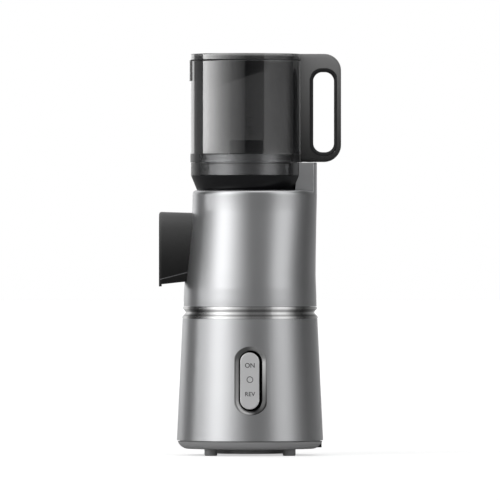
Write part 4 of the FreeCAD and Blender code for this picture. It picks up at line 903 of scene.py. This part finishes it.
@dataclass
class Chamber:
    """Silver upper shell with its spine, black bowl, tinted head, strainer collar and front hood."""

    foot: float = 148.8
    top: float = 264.8
    spine_top: float = 292.3
    back: float = 66.9
    wall: float = 2.4
    rim_depth: float = 4.6
    spine_half: float = 17.5
    spine_side: float = 63.6
    head_base: float = 279.45
    hood_half: float = 16.0
    hood_spring: float = 227.2
    hood_wall: float = 2.6
    hood_front: float = -90.99
    hood_back: float = -52.0

    def cone_radius(self, z: Array) -> Array:
        """Cone radius at height z, near vertical at both ends and drawn in at the rim."""
        zs = self.foot + np.array([0, 6, 18, 34, 60, 80, 96, 103, 108.7])
        rs = np.array([66.25, 66.2, 65.8, 64.35, 61.6, 59.45, 57.85, 57.55, 57.45])
        return np.interp(z, zs, rs)

    def outline(self, angle: Array, z: float, inset: float = 0.0) -> Array:
        """Radius at each angle: a circle in front, a half ellipse behind that reaches out to the spine.

        Args:
            angle: angles about the axis.
            z: height.
            inset: how far it is drawn in.

        Returns:
            The radii.
        """
        cone = self.cone_radius(z)
        back = np.interp(z, [self.foot, 167, 179, 200, 240, 257, 300],
                         [66.6, 66.1, 65.6, 65.8, 66.5, self.back, self.back])
        oval = cone * back / np.hypot(back * np.cos(angle), cone * np.sin(angle))
        return np.where(np.sin(angle) > 0, oval, cone) - inset

    def shell(self) -> None:
        """Outer wall, rounded rim and inner wall as one closed sheet."""
        turn, shoulder = around(320), self.top - self.rim_depth
        heights = np.concatenate([[self.foot, self.foot + 0.25], np.linspace(self.foot + 1.5, shoulder, 60)])
        rings = [(self.outline(turn, z), z) for z in heights]
        rim = ((0.05, 3.6), (0.22, 2.7), (0.6, 1.8), (1.2, 1.05), (2.0, 0.5), (2.9, 0.2), (3.8, 0.05),
               (4.8, 0.0), (5.2, 0.3), (5.3, 2.8))
        rings += [(self.outline(turn, shoulder) - inset, self.top - down) for inset, down in rim]
        rings += [(self.outline(turn, z, self.wall), z) for z in np.linspace(258, self.foot, 12)]
        grid = np.stack([polar(r, turn, z) for r, z in rings], 1)
        finish(closed_sheet("upper_skin", grid), "chamber", "silver_paint", [Look.SILVER], "chamber_shell")

    def spine(self) -> None:
        """Column behind the bowl: oval back, a front hollowed along the bowl, flat top with eased edges."""
        half, side, top = self.spine_half, self.spine_side, self.spine_top
        neck = 57.4
        arc = [(x, self.back * math.sqrt(1 - (x / neck) ** 2)) for x in (13, 9, 5, 0, -5, -9, -13)]
        path = rounded_path([(-half, 45.0, 0.6), (half, 45.0, 0.6), (half, side, 0.6), *arc,
                             (-half, side, 0.6)], steps=8)
        loop = resample(path, 240, -math.pi / 2)
        rows = []
        for inset, z in ((1.2, 245.0), (0.5, 256.0), (0.0, 260.0), (0.0, 264.8), (0.0, 272.0), (0.0, 279.4),
                         (0.0, top - 0.5), (0.1, top - 0.2), (0.3, top - 0.02), (0.6, top)):
            hug = np.interp(z, [264.8, 279.4], [49.7, 55.5])
            p = loop - loop_normals(loop) * inset
            front = AXIS_Y + np.sqrt((hug + inset) ** 2 - np.clip(p[:, 0], -half, half) ** 2)
            rows.append(stack(p[:, 0], np.maximum(p[:, 1], front), z))
        ends = [stack(np.clip(loop[:, 0], -8, 8), 59.0, z) for z in (245.0, top)]
        grid = np.stack([ends[0], *rows, ends[1]])
        obj = MeshMaker().sheet(grid, wrap_v=True, flip=True).write("spine_column")
        finish(obj, "chamber", "silver_paint", [Look.SILVER])

    def bowl(self) -> None:
        """Black juicing bowl with its flared shoulder."""
        profile = rounded_path([(9.8, 161.8), (47.4, 161.8), (47.4, 261.8), (49.2, 264.8), (55.2, 279.4, 0.3),
                                (52.9, 279.4), (46.9, 265.6), (45.1, 261.8), (45.1, 164.8), (11.8, 164.8),
                                (11.8, 178.8), (9.8, 178.8)], steps=3)
        finish(turned("bowl_body", profile), "chamber", "bowl_black", [Look.GLOSS], "juicing_bowl")

    def head(self) -> None:
        """Tinted ring above the shoulder."""
        low = self.head_base
        profile = rounded_path([(52.9, low), (55.2, low, 0.3), (55.2, 292.2, 0.3), (52.9, 292.2)], steps=3)
        finish(turned("head_ring", profile), "chamber", "tinted_clear", [Look.TINT], "bowl_head")

    def collar(self) -> None:
        """Silver collar of the strainer seen through the head."""
        low, high = 279.5, 291.4
        profile = rounded_path([(46.2, low), (48.2, low, 0.3), (48.2, high, 0.4), (46.2, high)], steps=3)
        finish(turned("collar_band", profile), "chamber", "collar_silver", [Look.BAND], "strainer_collar")

    def hood(self) -> None:
        """Arched hood: outer and inner walls as one closed sheet, open below, with a thin lighter grey bead on each
        side painted as the highlight along its lower rim.

        Each section is a half circle on two straight legs; its crown falls slowly towards the back.
        """
        arc = np.linspace(-1, 1, 121)
        half, thick, full = self.hood_half, self.hood_wall, -88.4
        depth = np.array([(self.hood_front, thick), (-90.6, 1.2), (-90.0, 0.55), (-89.2, 0.15), (full, 0.0)]
                         + [(y, 0.0) for y in np.linspace(-87, self.hood_back, 14)])

        def arch(y: float, inset: float, low: float) -> Array:
            """Section of the hood at depth y, drawn in by inset, with legs down to low."""
            r = half - inset
            straight = np.abs(arc) > 0.5
            a = np.clip(arc, -0.5, 0.5) * math.pi
            x = np.where(straight, np.sign(arc) * r, r * np.sin(a))
            top = self.hood_spring - 0.03 * (y + 91.0)
            z = np.where(straight, top + (low - top) * (np.abs(arc) - 0.5) * 2, top + r * np.cos(a))
            return stack(x, y, z)

        def low_edge(y: float) -> float:
            """Height of the legs' ends at depth y."""
            return 168.6 if y <= -88.5 else 170.8 + 2.6 * (y + 88.0) / 24.0

        outer = [arch(y, inset, low_edge(y)) for y, inset in depth]
        inner = [arch(max(y, full), thick, low_edge(y)) for y, _ in depth[::-1]]
        ends = [stack(0.0, row[:, 1], np.minimum(row[:, 2], 226.0)) for row in (outer[0], inner[-1])]
        grid = np.stack([ends[0], *outer, *inner, ends[1]])
        maker = MeshMaker().sheet(grid, flip=True)
        half_count = len(grid) // 2
        for side in (0, -1):
            line = grid[:, side]
            maker.sheet(np.stack([line[:half_count], line[::-1][:half_count]]), flip=side == 0)
        # painted highlight: a thin lighter grey bead along each side, where the hood's lower rim catches light
        for side in (-1, 1):
            run = np.linspace(0, 1, 12)[:, None]
            y, z = -90.0 + 30.0 * run, 175.6 + 7.6 * run
            turn = around(10)
            bead = stack(side * (half + 0.35 * np.cos(turn)), y, z + 0.5 * np.sin(turn))
            maker.sheet(bead, wrap_v=True, flip=side > 0, slot=1)
        obj = maker.write("hood_skin")
        finish(obj, "chamber", "handle_grey", [Look.HOOD, Look.SILICONE], "spout_hood")

    def build(self) -> None:
        """Makes every piece of the chamber."""
        for make in (self.shell, self.spine, self.bowl, self.head, self.collar, self.hood):
            make()


@dataclass
class Hopper:
    """Tinted drum with its floor band, handle, trim and lid."""

    radius: float = 55.8
    bottom: float = 292.6
    top: float = 393.9
    bore: float = 53.2
    handle_low: float = 293.0
    handle_high: float = 401.0
    handle_out: float = 91.0
    handle_corner: float = 17.0
    handle_half: float = 11.5
    handle_round: float = 4.3
    hole_low: tuple[float, float] = (59.6, 299.1)
    hole_high: tuple[float, float] = (87.6, 386.5)
    hole_corner: float = 12.0
    hole_centre: tuple[float, float] = (73.6, 342.8)
    trim_width: float = 3.6

    def drum(self) -> None:
        """Tinted drum wall."""
        profile = rounded_path([(self.bore, self.bottom), (self.radius, self.bottom, 0.5),
                                (self.radius, self.top, 0.4), (self.bore, self.top)], steps=4)
        finish(turned("drum_wall", profile, columns=240), "hopper", "tinted_clear", [Look.TINT],
               "hopper_drum")

    def floor(self) -> None:
        """Silver floor ring with its throat."""
        z, bore = self.bottom, self.bore
        profile = rounded_path([(42.0, z - 9), (44.4, z - 9), (44.4, z), (bore, z), (bore, z + 2),
                                (49.5, z + 2), (49.5, z + 8, 0.6), (43.2, z + 8, 0.5),
                                (42.0, z + 6.5)], steps=4)
        finish(turned("floor_band", profile), "hopper", "collar_silver", [Look.BAND], "hopper_floor")

    def hole(self, inset: float) -> Array:
        """Outline of the finger hole: a rounded rectangle, drawn in by an inset.

        Args:
            inset: distance inwards.

        Returns:
            Points (y, z).
        """
        corner = self.hole_corner - 0.8 * inset
        (y0, z0), (y1, z1) = np.add(self.hole_low, inset), np.subtract(self.hole_high, inset)
        corners = ((y0, z0), (y1, z0), (y1, z1), (y0, z1))
        return rounded_path([(y, z, corner) for y, z in corners], steps=16)

    def handle(self) -> None:
        """Handle as a closed ring: rounded outline laid against the drum, finger hole, rounded edges.

        Each ring of points is an outline at one distance from the middle plane. Outlines are matched by
        their angle about the hole's centre, and nothing goes nearer the axis than the drum's wall.
        """
        centre = self.hole_centre
        low, high, out, corner = self.handle_low, self.handle_high, self.handle_out, self.handle_corner
        inner = resample(self.hole(0.0), 360)
        angles = bearing(inner, centre)
        outline = resample(rounded_path([(42.0, low, 5.0), (out, low, corner), (out, high, corner),
                                         (42.0, high, 5.0)], steps=24), 2400)
        normals = loop_normals(outline)
        half, r, lip = self.handle_half, self.handle_round, loop_normals(inner) * 0.5
        rows = []
        for a in np.linspace(0, math.pi / 2, 9):
            eased = outline - normals * r * (1 - math.cos(a))
            rows.append((at_angles(eased, centre, angles), half - r + r * math.sin(a)))
        face = rows[-1][0]
        for k in (0.12, 0.5, 0.85):
            rows.append((face * (1 - k) + (inner + lip) * k, half))
        for a in np.linspace(0, math.pi / 2, 4):
            rows.append((inner + lip * (1 - math.sin(a)), half - 0.5 * (1 - math.cos(a))))
        grid = both_sides(rows)
        drum = AXIS_Y + np.sqrt((self.radius - 0.3) ** 2 - grid[..., 0] ** 2)
        grid[..., 1] = np.maximum(grid[..., 1], drum)
        finish(closed_sheet("handle_body", grid), "hopper", "handle_grey", [Look.HANDLE], "handle")

    def trim(self) -> None:
        """Dark soft trim lining the finger hole."""
        outer, centre = resample(self.hole(0.05), 320), self.hole_centre
        inner = at_angles(self.hole(self.trim_width), centre, bearing(outer, centre))
        rows = [(outer * (1 - share) + inner * share, x)
                for share, x in ((0, 10.0), (0, 11.3), (0.3, 11.7), (0.7, 11.3), (0.95, 10.2), (1, 9.0))]
        finish(closed_sheet("finger_trim", both_sides(rows)), "hopper", "trim_dark", [Look.TRIM],
               "handle_trim")

    def lid(self) -> None:
        """Lid disc with a rounded rim, a near-black line below it painted as the shade of the gap to the drum, a
        leaning skirt cut on a slant and a front tab.

        The skirt leans in by 7.4 mm over 29 mm; its lower edge rises by 0.3115 for each millimetre of y.
        """
        profile = rounded_path([(0.01, 398.7), (53.0, 398.7, 1.0), (53.0, 394.55), (55.7, 394.55, 0.4),
                                (55.7, 401.0, 0.7), (0.01, 401.0)], closed=False, steps=6)
        maker = MeshMaker().sheet(revolve(profile, AXIS_Y, columns=240), wrap_u=True)
        # painted shade: a near-black ring over the gap between the lid's rim and the drum
        low, high = 394.25, 395.2
        line = rounded_path([(54.6, low), (55.78, low, 0.1), (55.78, high, 0.1), (54.6, high)], steps=2)
        maker.sheet(revolve(line, AXIS_Y, columns=240), wrap_u=True, wrap_v=True, slot=1)
        under = 394.6
        a = np.radians(np.linspace(-205, 25, 140))[:, None]
        y_edge = AXIS_Y + 52.0 * np.sin(a)
        low = np.clip(372.9 + 0.3115 * (y_edge + 23.3), 365.6, 394.0)
        t = np.concatenate([np.linspace(0, 1, 8), np.linspace(1, 0, 8)])
        z = under + (low - under) * t
        thick = np.where(np.arange(16) < 8, 0.0, 1.6)
        r = 52.2 - thick - 7.4 * (under - z) / 29.0
        maker.sheet(polar(r, a, z, AXIS_Y), flip=True, wrap_v=True)
        a = np.radians(np.linspace(-101.5, -78.5, 14))[:, None]
        path = rounded_path([(55.9, 394.3), (57.3, 394.3, 0.3), (57.3, 373.9, 0.5), (55.95, 373.9, 0.2)],
                            steps=3)
        tab = polar(path[:, 0], a, path[:, 1], AXIS_Y)
        maker.sheet(tab, wrap_v=True)
        for end in (0, -1):
            ring = tab[end]
            fan = np.stack([ring, np.tile(ring.mean(0), (len(ring), 1))])
            maker.sheet(fan, wrap_v=True, flip=end == 0)
        obj = maker.write("lid_body")
        finish(obj, "lid", "tinted_clear", [Look.TINT, Look.TRIM], "lid")

    def build(self) -> None:
        """Makes every piece of the hopper."""
        for make in (self.drum, self.floor, self.handle, self.trim, self.lid):
            make()


@dataclass(frozen=True)
class LightRing:
    """Curved studio wall of softboxes and dark flags, as (azimuth, level) stops read along a circle.

    A narrow strip of it, at the height that upright walls reflect, has stops of its own. Its heights and
    radius are in metres.
    """

    wall: tuple[tuple[float, float], ...]
    strip: tuple[tuple[float, float], ...]
    gain: float = 1.0
    heights: tuple[float, ...] = (-0.8, 0.335, 0.347, 0.53, 0.55, 5.6)
    radius: float = 5.0

    def build(self) -> None:
        """Makes the wall; it lights the object and shows in reflections but not to the camera."""
        turn = np.linspace(-180, 180, 721)
        a, z = np.radians(turn)[:, None], np.array(self.heights)
        obj = MeshMaker().sheet(polar(self.radius, a, z) / MM, flip=True).write("light_ring", weld=1e-6)
        co = vertex_points(obj.data)
        azimuth = np.degrees(bearing(co))
        in_strip = (co[:, 2] > self.heights[1] + 0.005) & (co[:, 2] < self.heights[4] - 0.005)
        level = np.where(in_strip, np.interp(azimuth, *np.array(self.strip).T),
                         np.interp(azimuth, *np.array(self.wall).T)) * self.gain
        made = obj.data.attributes.new("level", "FLOAT", "POINT")
        made.data.foreach_set("value", level.astype(np.float32))
        mat = bpy.data.materials.new("light_ring")
        mat.use_nodes = True
        mat.node_tree.nodes.clear()
        recipe = Recipe(mat.node_tree)
        level_in = recipe.node("ShaderNodeAttribute", {"attribute_name": "level"}, output="Fac")
        light = recipe.node("ShaderNodeEmission", None, {"Color": level_in, "Strength": 1.0})
        out = mat.node_tree.nodes.new("ShaderNodeOutputMaterial")
        light.into(out, "Surface")
        obj.data.materials.append(mat)
        obj.visible_camera = False
        obj.visible_shadow = False
        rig.stage(obj)


@dataclass(frozen=True)
class Studio:
    """Pale sweep, soft lights and camera; floor_half is in millimetres, the camera's eye in metres."""

    soft_level: float = 0.6
    floor_tone: float = 0.8
    floor_gloss_drop: float = 0.42
    floor_glow: float = 0.55
    floor_half: float = 30000.0
    eye: tuple[float, float, float] = (10.0, 0.0, 0.205)

    def cards(self) -> None:
        """Softboxes and flags by azimuth; the camera is at azimuth 0 and the hood at -90."""
        wall = ((-180, 0.35), (-140, 0.40), (-125, 0.09), (-110, 0.02), (-98, 0.02), (-90, 0.07), (-80, 0.24),
                (-70, 0.58), (-60, 0.94), (-52, 1.0), (-42, 0.84), (-30, 0.52), (-15, 0.24), (-5, 0.12),
                (0, 0.08), (25, 0.08), (36, 0.20), (40, 0.40), (52, 0.58), (65, 0.52), (78, 0.20), (88, 0.05),
                (105, 0.02), (118, 0.05), (135, 0.11), (150, 0.16), (180, 0.35))
        strip = ((-180, 0.6), (-138, 0.6), (-134, 0.10), (-101, 0.10), (-100, 2.05), (-90, 1.75), (-80, 1.44),
                 (-71, 1.20), (-60, 0.86), (-50, 0.58), (-30, 0.26), (-15, 0.15), (-3, 0.07), (-2, 0.01),
                 (12, 0.02), (37, 0.04), (38, 0.19), (60, 0.14), (75, 0.11), (85, 0.09), (95, 0.06),
                 (110, 0.03), (150, 0.05), (180, 0.2))
        LightRing(wall, strip, gain=2.2).build()

    def world(self) -> None:
        """White world to camera, glossy and transmitted rays, softer to the rest."""
        world = bpy.data.worlds.new("studio")
        bpy.context.scene.world = world
        world.use_nodes = True
        recipe = Recipe(world.node_tree)
        background = world.node_tree.nodes["Background"]
        seen = recipe.ray("Camera")
        gloss = recipe.ray("Glossy")
        through = recipe.ray("Transmission")
        any_of = (seen + gloss + through).ramp(0.0, 1.0)
        level = any_of * (1.0 - self.soft_level) + self.soft_level
        level.into(background, "Color")

    def floor(self) -> None:
        """White floor that keeps the object's shadow and is darker in reflections."""
        reach = self.floor_half
        grid = np.array([[(x, y, 0.0) for y in (-reach, reach)] for x in (-reach, reach)])
        obj = MeshMaker().sheet(grid).write("floor")
        mat = bpy.data.materials.new("floor_white")
        mat.use_nodes = True
        shader = mat.node_tree.nodes["Principled BSDF"]
        shader.inputs["Roughness"].default_value = 0.9
        shader.inputs["Emission Color"].default_value = (1.0, 1.0, 1.0, 1.0)
        recipe = Recipe(mat.node_tree)
        seen = recipe.ray("Camera")
        (seen * self.floor_glow).into(shader, "Emission Strength")
        gloss = recipe.ray("Glossy")
        tone = self.floor_tone - gloss * self.floor_gloss_drop
        tone.into(shader, "Base Color")
        obj.data.materials.append(mat)
        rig.stage(obj)

    def camera(self) -> None:
        """Far level camera on the switch side, one millimetre to a pixel."""
        data = bpy.data.cameras.new("camera")
        data.lens, data.sensor_width = 720.0, 36.0
        data.clip_start, data.clip_end = 0.5, 60.0
        cam = into_scene("camera", data)
        cam.location = self.eye
        cam.rotation_euler = (math.pi / 2, 0.0, math.pi / 2)
        bpy.context.scene.camera = cam

    def build(self) -> None:
        """Sets the stage."""
        for make in (self.cards, self.world, self.floor, self.camera):
            make()
        bpy.context.scene.view_settings.view_transform = "Standard"


NODE_LOOKS: dict[Look, str] = {
    Look.BLACK: "cord_gland switch_body top_deck motor_end_bell cooling_fan chamber_floor strainer_frame "
                "control_board",
    Look.GLOSS: "auger_screw",
    Look.SPOUT: "juice_spout drip_cap pulp_chute",
    Look.SILICONE: "shaft_seal isolators bowl_seal pulp_plug",
    Look.STEEL: "cover_screws deck_screws gearbox_screws motor_can motor_bearings motor_shaft armature_core "
                "planet_carrier drive_shaft output_bearing auger_socket cap_pin hinge_pin handle_screws "
                "handle_magnet strainer_mesh interlock_sensor field_magnets ring_gear planet_gear_1 "
                "planet_gear_2 planet_gear_3",
    Look.ALLOY: "gearbox_case gearbox_cover",
    Look.COVER: "bottom_cover",
    Look.COPPER: "commutator",
}


def dress_nodes(frame: dict) -> None:
    """Assigns the node materials to the CAD nodes that stay in view.
    """
    for look, names in NODE_LOOKS.items():
        for name in names.split():
            mesh = frame["nodes"][name].data
            mesh.materials.clear()
            mesh.materials.append(look.value.build())


def write_size(key: str) -> None:
    path = "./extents.json"
    sizes = {} if key == "loaded" else json.load(open(path))
    low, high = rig.bounds()
    sizes[key] = [list(low), list(high)]
    json.dump(sizes, open(path, "w"))


def main() -> None:
    """Builds the juicer on the frame and its studio."""
    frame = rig.load()
    write_size("loaded")
    dress_nodes(frame)
    Base().build()
    Chamber().build()
    Hopper().build()
    Studio().build()
    write_size("finished")


if __name__ == "__main__":
    main()
